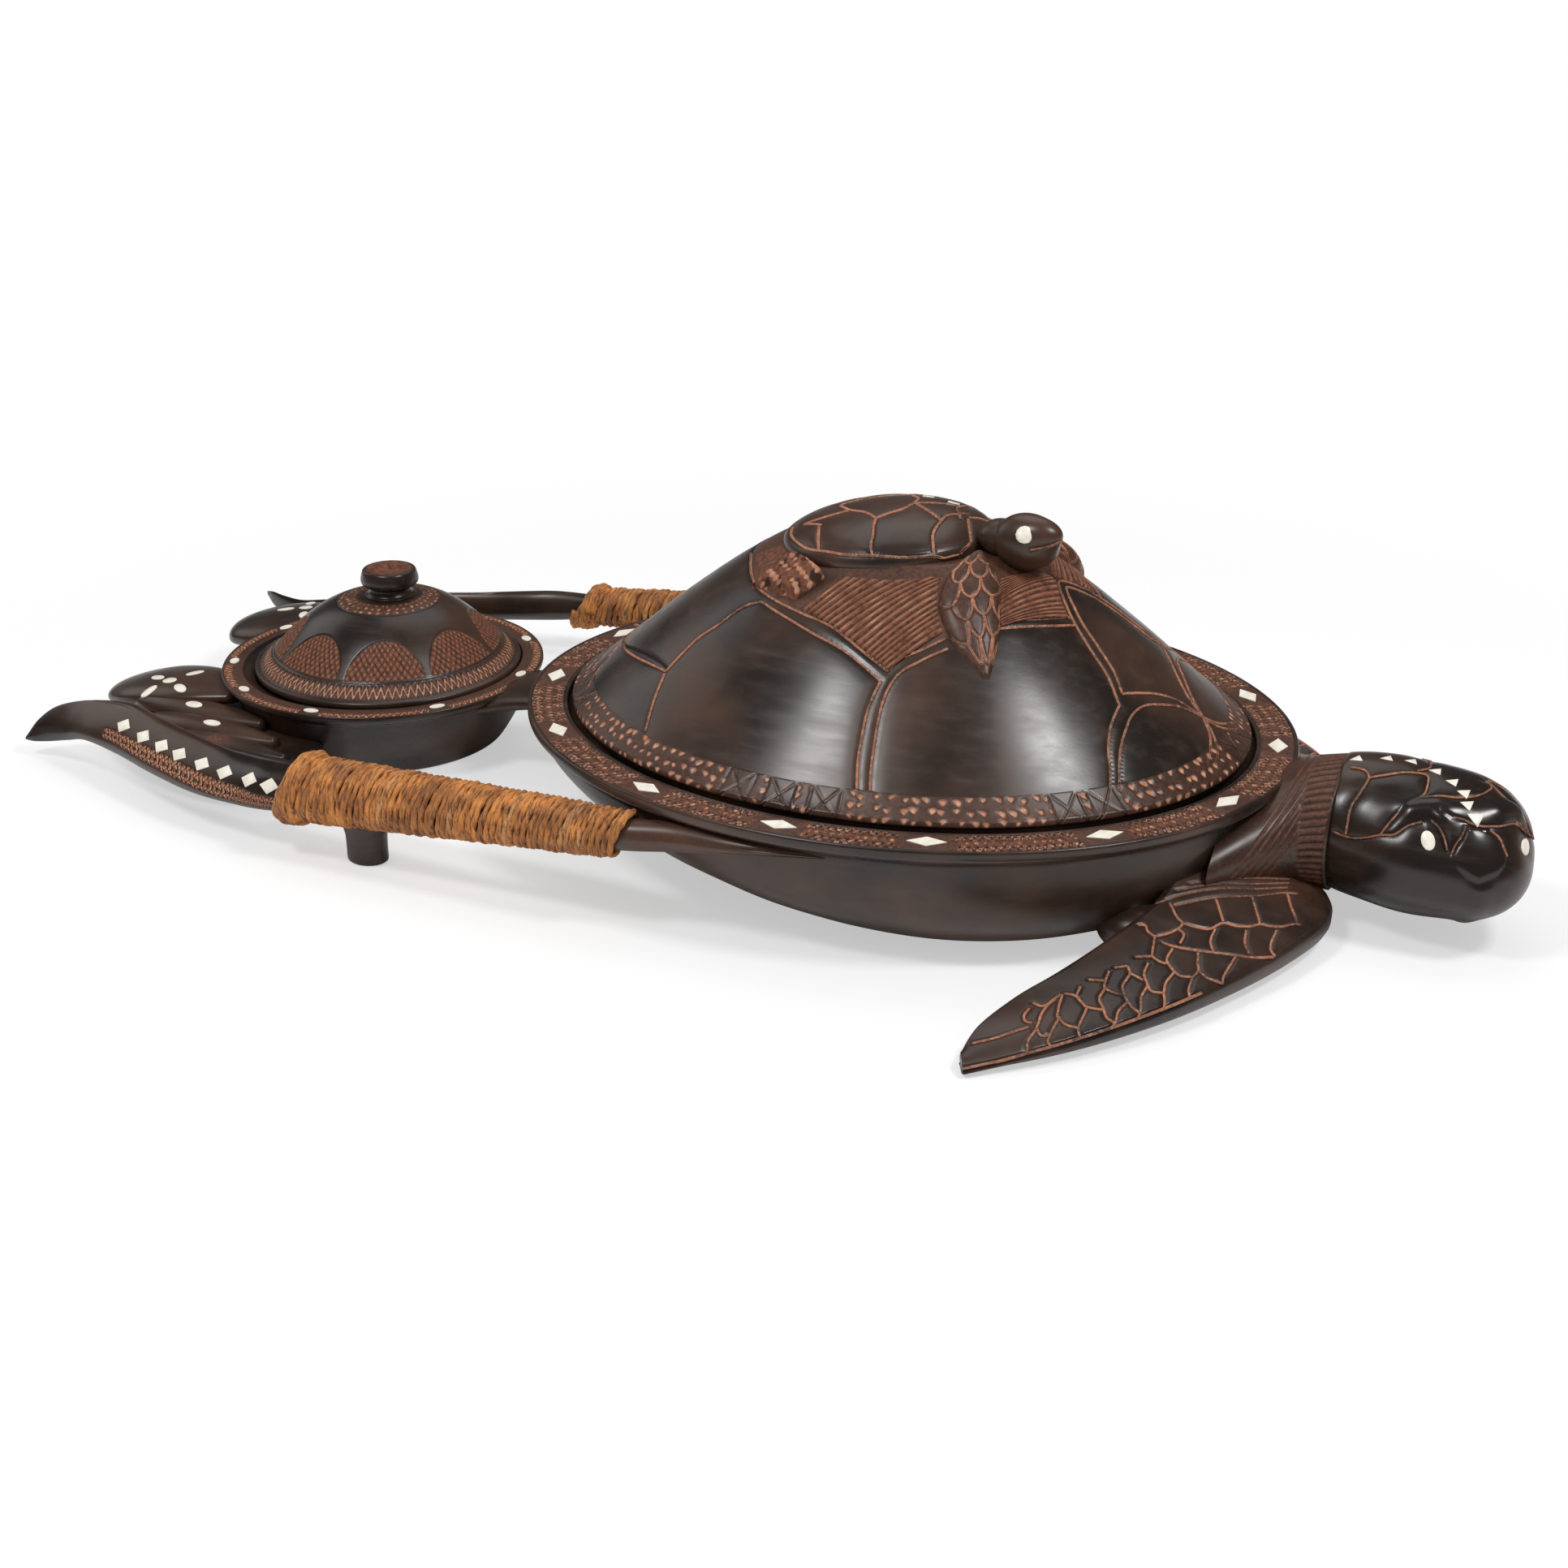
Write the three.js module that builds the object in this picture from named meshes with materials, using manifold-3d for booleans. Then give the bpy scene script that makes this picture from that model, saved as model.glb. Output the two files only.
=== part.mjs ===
// Turtle bowl: a covered oval feast bowl carved from dark wood as a sea turtle, with a round
// covered bowl at its tail, two cord-bound handles that end as hind flippers, and a small
// turtle carved on the main lid. Millimetres, +Z up, +X toward the head, +Y to the turtle's left.
import * as THREE from 'three';
import { mergeVertices } from 'three/addons/utils/BufferGeometryUtils.js';
import Module from 'manifold-3d';

const wasm = await Module();
wasm.setup();

// Clearance kept between two pieces that touch
const GAP = 0.3;

// Main bowl: an oval hull with a flat rim that overhangs it
const RIM_A = 230;
const RIM_B = 193;
const RIM_Z = 75;
const RIM_WIDTH = 24;
const RIM_EDGE = 6;
const RIM_OVERHANG = 7;
const BOWL_WALL = 5;
const BOWL_FLOOR = 11;
const KEEL_FORWARD = 59;
const KEEL_CURVE = 1.62;
const HULL_FOOT_A = 0.36;
const HULL_FULL_A = 1.84;
const HULL_FOOT_B = 0.54;
const HULL_FULL_B = 2.41;
const SEAT_DEPTH = 5;
const SEAT_WIDTH = 8;

// Main lid: a domed shell that drops into the rebate of the rim
const LID_PLAY = 3.2;
const LID_EDGE = 9;
const LID_RISE = 121;
const LID_WALL = 12;
const LID_SHOULDER = 1.72;
const LID_FLARE = 1.16;
const LID_FLAT = 0.32;

// Small turtle on the lid
const CUB_X = -12;
const CUB_A = 61;
const CUB_B = 58.5;
const CUB_BASE_Z = 178;
const CUB_RISE = 21;
const CUB_TILT = 0.07;
const CUB_APEX = 6;

// Small round bowl and its lid
const TAIL_X = -365;
const TAIL_R = 104;
const TAIL_RIM_Z = 50;
const TAIL_RIM_WIDTH = 14;
const TAIL_FLOOR = 8;
const TAIL_FOOT = 0.74;
const TAIL_FULLNESS = 1.7;
const TAIL_LID_X = -361;
const KNOB_X = -356;
const TAIL_LID_R = 85.5;
const TAIL_LID_RISE = 44;
const TAIL_LID_SHOULDER = 3;
const TAIL_LID_FLARE = 1.6;
const TAIL_LID_EDGE = 5;
const TAIL_LID_WALL = 9;
const KNOB_R = 18.5;
const KNOB_HEIGHT = 16;

// Handles run from under the rim back to the hind flippers; the cord binds their middle
// and the left one is the slimmer of the two
const HANDLE_X = [-87, -330];
const HANDLE_Y = [186, 174.5];
const HANDLE_SHAPE = {
  right: { z: [55, 37], core: [9, 12.6, 16.4] },
  left: { z: [59, 36], core: [7.5, 8.6, 10] },
};
const CORD_THICK = 4;
const CORD_LOOPS = 24;
const CORD_STEPS = 12;
const CORD_SIDES = 5;
const CORD_SPACE = 0.6;

// Peg feet under the handles
const FOOT_X = -270;
const FOOT_R = 12;

// Neck, head and front flippers
const NECK_X = 258;
const HEAD_CENTRE = [318, -2, 48];

// Shell inlays: diamonds along the main rim, ovals along the small rim, and round eyes
const RIM_INLAY_DEGREES = [-168, -141, -113, -90, -69, -43, -18, 10, 34, 60, 86, 112, 139, 165];
const RIM_INLAY_LONG = 10.5;
const RIM_INLAY_WIDE = 5.5;
const SMALL_INLAY_DEGREES = [-153, -121, -84, -37, 7, 47, 86, 126, 166];
const SMALL_INLAY_LONG = 5;
const SMALL_INLAY_WIDE = 3;
const INLAY_DEPTH = 1.3;
const INLAY_PROUD = 0.4;

// Colours of the carving
const WOOD = { color: 0x2f211c, roughness: 0.38, metalness: 0 };
const CORD = { color: 0xa5632c, roughness: 0.9, metalness: 0 };
const SHELL = { color: 0xe9e2cf, roughness: 0.3, metalness: 0 };

const point = (x, y, z) => new THREE.Vector3(x, y, z);
const lerp = THREE.MathUtils.lerp;

// One ring of n points round an oval in a level plane
function oval(a, b, z, n, cx = 0, cy = 0) {
  const ring = [];
  for (let i = 0; i < n; i += 1) {
    const t = (2 * Math.PI * i) / n;
    ring.push(point(cx + a * Math.cos(t), cy + b * Math.sin(t), z));
  }
  return ring;
}

// A closed solid through rings of equal count; a ring of one point closes that end by itself
function skin(rings) {
  const n = Math.max(...rings.map((ring) => ring.length));
  const positions = [];
  const rows = [];
  const centre = (ring) => ring.reduce((sum, p) => sum.add(p), point(0, 0, 0)).divideScalar(ring.length);
  const ends = [rings[0], rings[rings.length - 1]].map((ring) => [centre(ring)]);
  const all = [ends[0], ...rings.filter((ring) => ring.length > 1), ends[1]];
  all.forEach((ring) => {
    rows.push(positions.length / 3);
    ring.forEach((p) => positions.push(p.x, p.y, p.z));
  });
  const index = [];
  for (let r = 0; r + 1 < all.length; r += 1) {
    for (let i = 0; i < n; i += 1) {
      const j = (i + 1) % n;
      const low = (k) => rows[r] + (all[r].length > 1 ? k : 0);
      const high = (k) => rows[r + 1] + (all[r + 1].length > 1 ? k : 0);
      if (all[r].length > 1) index.push(low(i), low(j), high(i));
      if (all[r + 1].length > 1) index.push(low(j), high(j), high(i));
    }
  }
  return outward(geometryOf(positions, index));
}

function geometryOf(positions, index) {
  const geometry = new THREE.BufferGeometry();
  geometry.setAttribute('position', new THREE.Float32BufferAttribute(positions, 3));
  geometry.setIndex(index);
  return geometry;
}

// Turns the faces round when the closed surface points inward
function outward(geometry) {
  const p = geometry.attributes.position;
  const index = geometry.index.array;
  const corner = (k) => point(p.getX(index[k]), p.getY(index[k]), p.getZ(index[k]));
  let volume = 0;
  for (let k = 0; k < index.length; k += 3) {
    volume += corner(k).dot(corner(k + 1).cross(corner(k + 2)));
  }
  if (volume < 0) {
    for (let k = 0; k < index.length; k += 3) {
      [index[k + 1], index[k + 2]] = [index[k + 2], index[k + 1]];
    }
  }
  return geometry;
}

// Bridge to the boolean library and back
function solid(geometry) {
  const bare = geometry.clone();
  bare.deleteAttribute('normal');
  bare.deleteAttribute('uv');
  const merged = mergeVertices(bare, 1e-4);
  return new wasm.Manifold(new wasm.Mesh({
    numProp: 3,
    vertProperties: new Float32Array(merged.attributes.position.array),
    triVerts: new Uint32Array(merged.index.array),
  }));
}

function surface(manifold) {
  const mesh = manifold.getMesh();
  return geometryOf(Array.from(mesh.vertProperties), Array.from(mesh.triVerts));
}

const cut = (piece, ...tools) => surface(tools.reduce((rest, tool) => rest.subtract(solid(tool)), solid(piece)));
const fuse = (...pieces) => surface(pieces.slice(1).reduce((sum, piece) => sum.add(solid(piece)), solid(pieces[0])));

const root = new THREE.Group();

function place(name, geometry, look = WOOD) {
  geometry.computeVertexNormals();
  const mesh = new THREE.Mesh(geometry, new THREE.MeshStandardMaterial(look));
  mesh.name = name;
  root.add(mesh);
  return mesh;
}

// Mirrors a geometry to the other side of the turtle
function mirrored(geometry) {
  return outward(geometry.clone().scale(1, -1, 1));
}

// Share of the full radius that a carved hull has at a share s of its height
function hullShare(s, foot, fullness) {
  return foot + (1 - foot) * (1 - (1 - s) ** fullness) ** (1 / fullness);
}

// One level of the hull at a share s of its height: fuller at the sides than at the ends,
// with its flat keel shifted toward the head
function hullLevel(a, b, s, z, n) {
  const shareA = hullShare(s, HULL_FOOT_A, HULL_FULL_A);
  const shareB = hullShare(s, HULL_FOOT_B, HULL_FULL_B);
  return oval(a * shareA, b * shareB, z, n, KEEL_FORWARD * (1 - s) ** KEEL_CURVE);
}

const HULL_STEPS = [0, 0.03, 0.1, 0.22, 0.4, 0.65, 1];

// Outer skin of the hull and rim as rings from the floor up
function hullRings(grow, n) {
  const a = RIM_A - RIM_OVERHANG + grow;
  const b = RIM_B - RIM_OVERHANG + grow;
  const top = RIM_Z - RIM_EDGE - RIM_OVERHANG * 0.7;
  const rings = HULL_STEPS.map((s) => hullLevel(a, b, s, s * top - (1 - s) * 2 * grow, n));
  rings.push(oval(RIM_A + grow, RIM_B + grow, RIM_Z - RIM_EDGE - grow, n));
  rings.push(oval(RIM_A + grow, RIM_B + grow, RIM_Z + grow, n));
  return rings;
}

const BOWL_SIDES = 56;

function mainBowl() {
  const rings = hullRings(0, BOWL_SIDES);
  const innerA = RIM_A - RIM_WIDTH;
  const innerB = RIM_B - RIM_WIDTH;
  const seatZ = RIM_Z - SEAT_DEPTH;
  rings.push(oval(innerA, innerB, RIM_Z, BOWL_SIDES));
  rings.push(oval(innerA, innerB, seatZ, BOWL_SIDES));
  rings.push(oval(innerA - SEAT_WIDTH, innerB - SEAT_WIDTH, seatZ, BOWL_SIDES));
  const well = SEAT_WIDTH + BOWL_WALL;
  [0.6, 0.3, 0.1, 0].forEach((s) => {
    rings.push(hullLevel(innerA - well, innerB - well, s, lerp(BOWL_FLOOR, seatZ, s), BOWL_SIDES));
  });
  return skin(rings);
}

const LID_A = RIM_A - RIM_WIDTH - LID_PLAY;
const LID_B = RIM_B - RIM_WIDTH - LID_PLAY;
const LID_BASE = RIM_Z - SEAT_DEPTH + GAP;
const LID_SIDES = 60;

// Height of the dome above its edge at a share rho of its radius
function domeRise(rho) {
  const r = Math.max(rho, LID_FLAT);
  return LID_RISE * (1 - r ** LID_SHOULDER) ** LID_FLARE;
}

function domeRings(shares, drop, inset, n) {
  return shares.map((rho) => {
    const z = LID_BASE + LID_EDGE + domeRise(rho) - drop;
    return oval((LID_A - inset) * rho, (LID_B - inset) * rho, z, n);
  });
}

const DOME_STEPS = [1, 0.93, 0.85, 0.75, 0.64, 0.53, 0.42, LID_FLAT];

function mainLid() {
  const outer = domeRings(DOME_STEPS, 0, 0, LID_SIDES).reverse();
  const inner = domeRings([1, 0.85, 0.65, 0.45, LID_FLAT], LID_WALL, LID_WALL, LID_SIDES);
  const edge = oval(LID_A, LID_B, LID_BASE, LID_SIDES);
  const sill = oval(LID_A - LID_WALL, LID_B - LID_WALL, LID_BASE, LID_SIDES);
  return skin([...outer, edge, sill, ...inner.slice(1)]);
}

// The dome as a full block, raised by the clearance, for cutting what sits on it
function domeBlock() {
  const outer = domeRings(DOME_STEPS, -GAP, 0, LID_SIDES).reverse();
  return skin([...outer, oval(LID_A, LID_B, LID_BASE, LID_SIDES)]);
}

// Small turtle: an oval shell cut to the dome below it
const CUB_SIDES = 28;

function cubShellBlank(grow) {
  const rows = [[0.9, -1.5], [0.985, -0.05], [1, 0.1], [0.96, 0.27], [0.84, 0.5], [0.6, 0.76], [0.3, 0.96]];
  return skin(rows.map(([share, level]) => {
    const ring = oval(CUB_A * share + grow, CUB_B * share + grow, CUB_BASE_Z, CUB_SIDES, CUB_X + CUB_APEX * (1 - share));
    const lift = level * CUB_RISE + (level > 0 ? grow : 0);
    return ring.map((p) => point(p.x, p.y, p.z + CUB_TILT * (p.x - CUB_X) + lift));
  }));
}

// A leaf-shaped limb that follows the dome: a path in plan, with a half width and a height over
// the dome for each section
function domeZ(x, y) {
  return LID_BASE + LID_EDGE + domeRise(Math.min(1, Math.hypot(x / LID_A, y / LID_B)));
}

function limbOnDome(path, widths, heights, depth) {
  const curve = new THREE.CatmullRomCurve3(path.map(([x, y]) => point(x, y, 0)));
  const count = widths.length;
  return skin(widths.map((half, i) => {
    const centre = curve.getPoint(i / (count - 1));
    const side = curve.getTangent(i / (count - 1)).cross(point(0, 0, 1)).normalize();
    const top = heights[i];
    const profile = [[-1, -depth], [-1, 0.45 * top], [-0.6, top], [0.6, top], [1, 0.45 * top], [1, -depth]];
    return profile.map(([across, lift]) => {
      const x = centre.x + side.x * across * half;
      const y = centre.y + side.y * across * half;
      return point(x, y, domeZ(x, y) + lift);
    });
  }));
}

// The left front flipper stands higher and further forward than the right one
function cubFrontFlipper() {
  return limbOnDome([[44, -32], [56, -57], [66, -73], [78, -86]], [9, 14, 15, 11, 3], [6, 7, 7, 7, 5], 6);
}

function cubFrontFlipperLeft() {
  return limbOnDome([[42, 36], [58, 48], [72, 58], [79, 68]], [7, 11, 15, 13, 5], [3, 6, 11, 11, 8], 6);
}

function cubHindFlipper() {
  return limbOnDome([[-40, -43], [-50, -51], [-61, -60]], [13, 15, 14, 11], [3, 5, 7, 7], 6);
}

// A rounded head about its centre: a skull and a neck blended by their reach in each direction
function reach(direction, centre, radii) {
  const d = point(direction.x / radii[0], direction.y / radii[1], direction.z / radii[2]);
  const c = point(centre[0] / radii[0], centre[1] / radii[1], centre[2] / radii[2]);
  const dd = d.dot(d);
  const dc = d.dot(c);
  const inside = dc * dc - dd * (c.dot(c) - 1);
  return inside > 0 ? Math.max(0, (dc + Math.sqrt(inside)) / dd) : 0;
}

function blobRadius(d, lobes, sharpness) {
  const sum = lobes.reduce((total, lobe) => total + reach(d, lobe.at, lobe.radii) ** sharpness, 0);
  return sum ** (1 / sharpness);
}

function blob(centre, lobes, sharpness, columns, rows) {
  const sphere = new THREE.SphereGeometry(1, columns, rows).rotateX(Math.PI / 2);
  const p = sphere.attributes.position;
  for (let i = 0; i < p.count; i += 1) {
    const d = point(p.getX(i), p.getY(i), p.getZ(i)).normalize();
    const r = blobRadius(d, lobes, sharpness);
    p.setXYZ(i, centre[0] + d.x * r, centre[1] + d.y * r, centre[2] + d.z * r);
  }
  return sphere;
}

const CUB_HEAD = [74, -13, 191.5];
const CUB_HEAD_BLEND = 8;
const CUB_HEAD_LOBES = [
  { at: [1, 0, -1], radii: [19, 14.5, 16] },
  { at: [9, -4, 5], radii: [13, 8.5, 8.5] },
  { at: [-16, 6, -2], radii: [13, 12, 10] },
];
const CUB_EYES = { right: [-74, 27], left: [62, 27] };
const CUB_EYE_SIZE = [5, 5, 1.6];

// Small round bowl at the tail
const TAIL_SIDES = 36;

function tailBowlRings(grow) {
  const steps = [0, 0.04, 0.14, 0.34, 0.62, 1];
  const r = TAIL_R - 5;
  const top = TAIL_RIM_Z - 7;
  const rings = steps.map((s) => {
    const share = hullShare(s, TAIL_FOOT, TAIL_FULLNESS);
    const z = 1 + s * (top - 1) - (s === 0 ? grow : 0);
    return oval(r * share + grow, r * share + grow, z, TAIL_SIDES, TAIL_X);
  });
  rings.push(oval(TAIL_R + grow, TAIL_R + grow, TAIL_RIM_Z - 4 - grow, TAIL_SIDES, TAIL_X));
  rings.push(oval(TAIL_R + grow, TAIL_R + grow, TAIL_RIM_Z + grow, TAIL_SIDES, TAIL_X));
  return rings;
}

function smallBowl() {
  const round = (r, z) => oval(r, r, z, TAIL_SIDES, TAIL_X);
  const inner = TAIL_R - TAIL_RIM_WIDTH;
  const seatZ = TAIL_RIM_Z - 3;
  const hollow = [0.6, 0.25, 0].map((s) => {
    const share = hullShare(s, TAIL_FOOT, TAIL_FULLNESS);
    return round((inner - 7) * share, lerp(TAIL_FLOOR, seatZ, s));
  });
  const rim = [round(inner, TAIL_RIM_Z), round(inner, seatZ), round(inner - 6, seatZ)];
  return skin([...tailBowlRings(0), ...rim, ...hollow]);
}

const TAIL_LID_BASE = TAIL_RIM_Z - 3 + GAP;

// Height of the small lid at a share rho of its radius
function tailDomeZ(rho) {
  return TAIL_LID_BASE + TAIL_LID_EDGE + TAIL_LID_RISE * (1 - rho ** TAIL_LID_SHOULDER) ** TAIL_LID_FLARE;
}

function tailDomeRing(rho, drop, inset) {
  const z = tailDomeZ(rho) - drop;
  const r = (TAIL_LID_R - inset) * rho;
  return oval(r, r, z, TAIL_SIDES, lerp(KNOB_X, TAIL_LID_X, rho));
}

function smallLid() {
  const outer = [0.2, 0.4, 0.6, 0.78, 0.92, 1].map((rho) => tailDomeRing(rho, 0, 0));
  const inner = [0.8, 0.5, 0.2].map((rho) => tailDomeRing(rho, TAIL_LID_WALL, TAIL_LID_WALL));
  const level = (r) => oval(r, r, TAIL_LID_BASE, TAIL_SIDES, TAIL_LID_X);
  return skin([...outer, level(TAIL_LID_R), level(TAIL_LID_R - TAIL_LID_WALL), ...inner]);
}

// Turned knob with a waist and a dished top
function smallLidKnob() {
  const base = tailDomeZ(0.2) + GAP;
  const profile = [
    [0, 0], [KNOB_R - 4.5, 0], [KNOB_R - 5.5, 4], [KNOB_R - 0.5, 7], [KNOB_R, 10],
    [KNOB_R - 1.5, KNOB_HEIGHT - 1], [KNOB_R - 4, KNOB_HEIGHT], [KNOB_R - 9, KNOB_HEIGHT - 1.5],
    [0, KNOB_HEIGHT - 4],
  ];
  const knob = new THREE.LatheGeometry(profile.map(([r, z]) => new THREE.Vector2(r, z)), 24);
  return outward(solidOfLathe(knob).translate(KNOB_X, 0, base));
}

// A lathe turns about Y; this stands it up about Z and welds its seam
function solidOfLathe(lathe) {
  return surface(solid(lathe.rotateX(Math.PI / 2)));
}

// Bridge of wood between the two bowls
function tailBridge() {
  const x0 = TAIL_X + TAIL_R - 16;
  const x1 = -RIM_A + 24;
  const stations = [0, 0.35, 0.65, 1].map((t) => {
    const half = lerp(46, 50, t) - 12 * Math.sin(Math.PI * t);
    const x = lerp(x0, x1, t);
    const z = lerp(TAIL_RIM_Z - 16, RIM_Z - 17, t);
    const section = [[-1, -0.35], [-0.7, -1], [0.7, -1], [1, -0.35], [0.75, 0.5], [-0.75, 0.5]];
    return section.map(([y, h]) => point(x, y * half, z + h * 16));
  });
  return skin(stations);
}

// A round or flattened bar through stations along a path, in upright sections
function bar(stations, sides) {
  return skin(stations.map(([x, y, z, halfY, halfZ]) => {
    const ring = [];
    for (let i = 0; i < sides; i += 1) {
      const t = (2 * Math.PI * (i + 0.5)) / sides;
      ring.push(point(x, y + halfY * Math.cos(t), z + halfZ * Math.sin(t)));
    }
    return ring;
  }));
}

// Share 0 at the rim end of the handle and 1 at its flipper end
function handleAt(side, share) {
  const [c0, c1, c2] = HANDLE_SHAPE[side].core;
  const core = share < 0.5 ? lerp(c0, c1, share * 2) : lerp(c1, c2, share * 2 - 1);
  const y = (side === 'left' ? 1 : -1) * lerp(...HANDLE_Y, share);
  return { x: lerp(...HANDLE_X, share), y, z: lerp(...HANDLE_SHAPE[side].z, share), core };
}

function handle(side) {
  const start = handleAt(side, 0);
  const rimEnd = [[8, 1.01, 0.28, 62], [-25, 1.005, 0.55, 60], [-60, 0.98, 0.92, 57]].map(([x, out, share, z]) => (
    [x, start.y * out, z, start.core * share, start.core * share]
  ));
  const shaft = [0, 0.25, 0.5, 0.75, 1].map((share) => {
    const { x, y, z, core } = handleAt(side, share);
    return [x, y, z, core, core];
  });
  return bar([...rimEnd, ...shaft], 16);
}

// The binding: one unbroken flattened wrap round the handle, a loop for every two or three cords
function bindingPath(side) {
  const stations = [];
  const count = CORD_LOOPS * CORD_STEPS;
  const length = HANDLE_X[0] - HANDLE_X[1];
  const pitch = (length - 2 * CORD_THICK) / (CORD_LOOPS + 1);
  for (let i = 0; i <= count; i += 1) {
    const turn = i / CORD_STEPS;
    const share = (CORD_THICK + pitch * (turn + 0.5)) / length;
    const { x, y, z, core } = handleAt(side, share);
    const reachOut = (core + GAP + CORD_THICK / 2) / Math.cos(Math.PI / CORD_STEPS);
    const t = 2 * Math.PI * turn;
    const out = point(0, Math.cos(t), Math.sin(t));
    stations.push({ centre: point(x, y, z).addScaledVector(out, reachOut), out });
  }
  return { stations, pitch };
}

// Least clear distance between one loop and the next, measured where they lie side by side
function leastGap(stations, halfWide) {
  let least = Infinity;
  for (let i = 0; i + CORD_STEPS < stations.length; i += 1) {
    const a = stations[i].centre;
    const b = stations[i + CORD_STEPS].centre;
    least = Math.min(least, Math.abs(a.x - b.x) - 2 * halfWide);
  }
  return least;
}

function binding(side) {
  const { stations, pitch } = bindingPath(side);
  const halfWide = (pitch - CORD_SPACE) / 2;
  const halfThick = CORD_THICK / 2;
  console.log('binding least gap', leastGap(stations, halfWide).toFixed(2), 'mm');
  const first = stations[0];
  const last = stations[stations.length - 1];
  const straight = (end, next) => {
    const away = end.centre.clone().sub(next.centre).setLength(CORD_THICK);
    return { centre: end.centre.clone().add(away), out: end.out };
  };
  const all = [straight(first, stations[1]), ...stations, straight(last, stations[stations.length - 2])];
  return skin(all.map(({ centre, out }) => {
    const ring = [];
    for (let i = 0; i < CORD_SIDES; i += 1) {
      const t = (2 * Math.PI * i) / CORD_SIDES - Math.PI / 2;
      const wide = halfWide * Math.cos(t);
      const thick = halfThick * Math.sin(t);
      ring.push(point(centre.x + wide, centre.y + out.y * thick, centre.z + out.z * thick));
    }
    return ring;
  }));
}

// Peg foot, hollowed on top to the binding that it carries
function foot(side) {
  const peg = bar(
    [[0, 0, 0, FOOT_R, FOOT_R * 0.8], [12, 0, 0, FOOT_R * 0.92, FOOT_R * 0.74], [40, 0, 0, FOOT_R, FOOT_R * 0.8]],
    16,
  ).rotateY(-Math.PI / 2);
  const { y } = handleAt(side, (HANDLE_X[0] - FOOT_X) / (HANDLE_X[0] - HANDLE_X[1]));
  peg.translate(FOOT_X, y, 0);
  const wrap = [0, 0.5, 1].map((share) => {
    const at = handleAt(side, share);
    const r = (at.core + CORD_THICK + 3 * GAP) / Math.cos(Math.PI / 32) / Math.cos(Math.PI / CORD_STEPS);
    return [at.x, at.y, at.z, r, r];
  });
  return cut(peg, bar(wrap, 32));
}

// Hind blade: a curved bar whose outer face leans out, ending in an upturned point
const BLADES = {
  // x, y, height of the middle, half thickness, half height, lean of the top toward the bowl
  right: [
    [HANDLE_X[1] - GAP, -174.5, 37, 14.5, 14, 0],
    [-350, -171, 35.1, 14, 13.3, 3],
    [-385, -165, 33.4, 13, 12.2, 5],
    [-425, -153, 34.4, 12, 12.4, 6],
    [-465, -139, 35.2, 10.5, 12.3, 6],
    [-497, -130, 32.4, 9, 9.8, 6],
    [-517, -126, 27.6, 7.5, 10.4, 5],
    [-534, -127, 22.8, 5.5, 10, 3],
    [-546, -130, 17.5, 3.5, 6.3, 2],
    [-553, -133, 12, 1.4, 1.6, 0],
  ],
  left: [
    [HANDLE_X[1] - GAP, 174.5, 36, 10, 10.5, 0],
    [-350, 171, 34.5, 11, 11, 2],
    [-385, 165, 31, 11, 11, 4],
    [-425, 153, 29, 11, 11, 5],
    [-465, 139, 26, 10, 10.5, 5],
    [-497, 130, 23.5, 9, 9.5, 4],
    [-517, 126, 21, 7.5, 9.5, 3],
    [-534, 127, 21.5, 5.5, 9, 2],
    [-547, 130, 24, 3.5, 6.5, 1],
    [-556, 133, 26.5, 1.5, 2.5, 0],
  ],
};

function bladeSolid(side, grow) {
  const section = [
    [1, -0.25], [0.8, 0.5], [0.45, 0.95], [0.15, 1], [-0.55, 0.5], [-1, -0.1], [-1, -0.6], [-0.45, -1], [0.45, -0.92],
  ];
  const inward = side === 'left' ? -1 : 1;
  return skin(BLADES[side].map(([x, y, z, halfY, halfZ, lean]) => section.map(([across, up]) => (
    point(x, y + inward * (across * (halfY + grow) + lean * up), z + up * (halfZ + grow))
  ))));
}

// Hind flipper between blade and small bowl: overlapping toes on a thin web, and a broad inner lobe
const TOES = [
  // outer end x, y, root x, y, half width, half height, middle height, droop of the outer end
  [-498, -88, -395, -92, 12, 8, 31, 0],
  [-470, -110, -372, -112, 11.5, 8, 30, 0],
  [-440, -127, -352, -130, 10, 8, 29, 0],
];
const INNER_LOBE = {
  right: [-536, -58, -430, -68, 30, 8, 36, 14],
  left: [-531, -64, -428, -70, 37, 8, 35, 12],
};

function toe([x0, y0, x1, y1, half, rise, z, droop]) {
  const axis = point(x1 - x0, y1 - y0, 0);
  const side = point(-axis.y, axis.x, 0).normalize();
  const shares = [0, 0.06, 0.22, 0.5, 0.8, 1];
  const swell = [0.12, 0.55, 0.92, 1, 0.72, 0.4];
  return skin(shares.map((share, i) => {
    const ring = [];
    for (let k = 0; k < 12; k += 1) {
      const t = (2 * Math.PI * k) / 12;
      const across = half * swell[i] * Math.cos(t);
      const up = rise * Math.min(1, 0.35 + swell[i] * 0.65) * Math.sin(t) - droop * (1 - share) ** 2;
      ring.push(point(x0 + axis.x * share + side.x * across, y0 + axis.y * share + side.y * across, z + up));
    }
    return ring;
  }));
}

function hindFlipper(side) {
  const web = new THREE.Shape([[-515, -72], [-498, -105], [-470, -122], [-430, -138], [-370, -150], [-345, -140],
    [-372, -70], [-440, -50], [-498, -46]].map(([x, y]) => new THREE.Vector2(x, y)));
  const plate = new THREE.ExtrudeGeometry(web, { depth: 8, bevelEnabled: false }).translate(0, 0, 20);
  const carved = fuse(plate, ...[INNER_LOBE[side], ...TOES].map(toe));
  return side === 'left' ? mirrored(carved) : carved;
}

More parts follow.
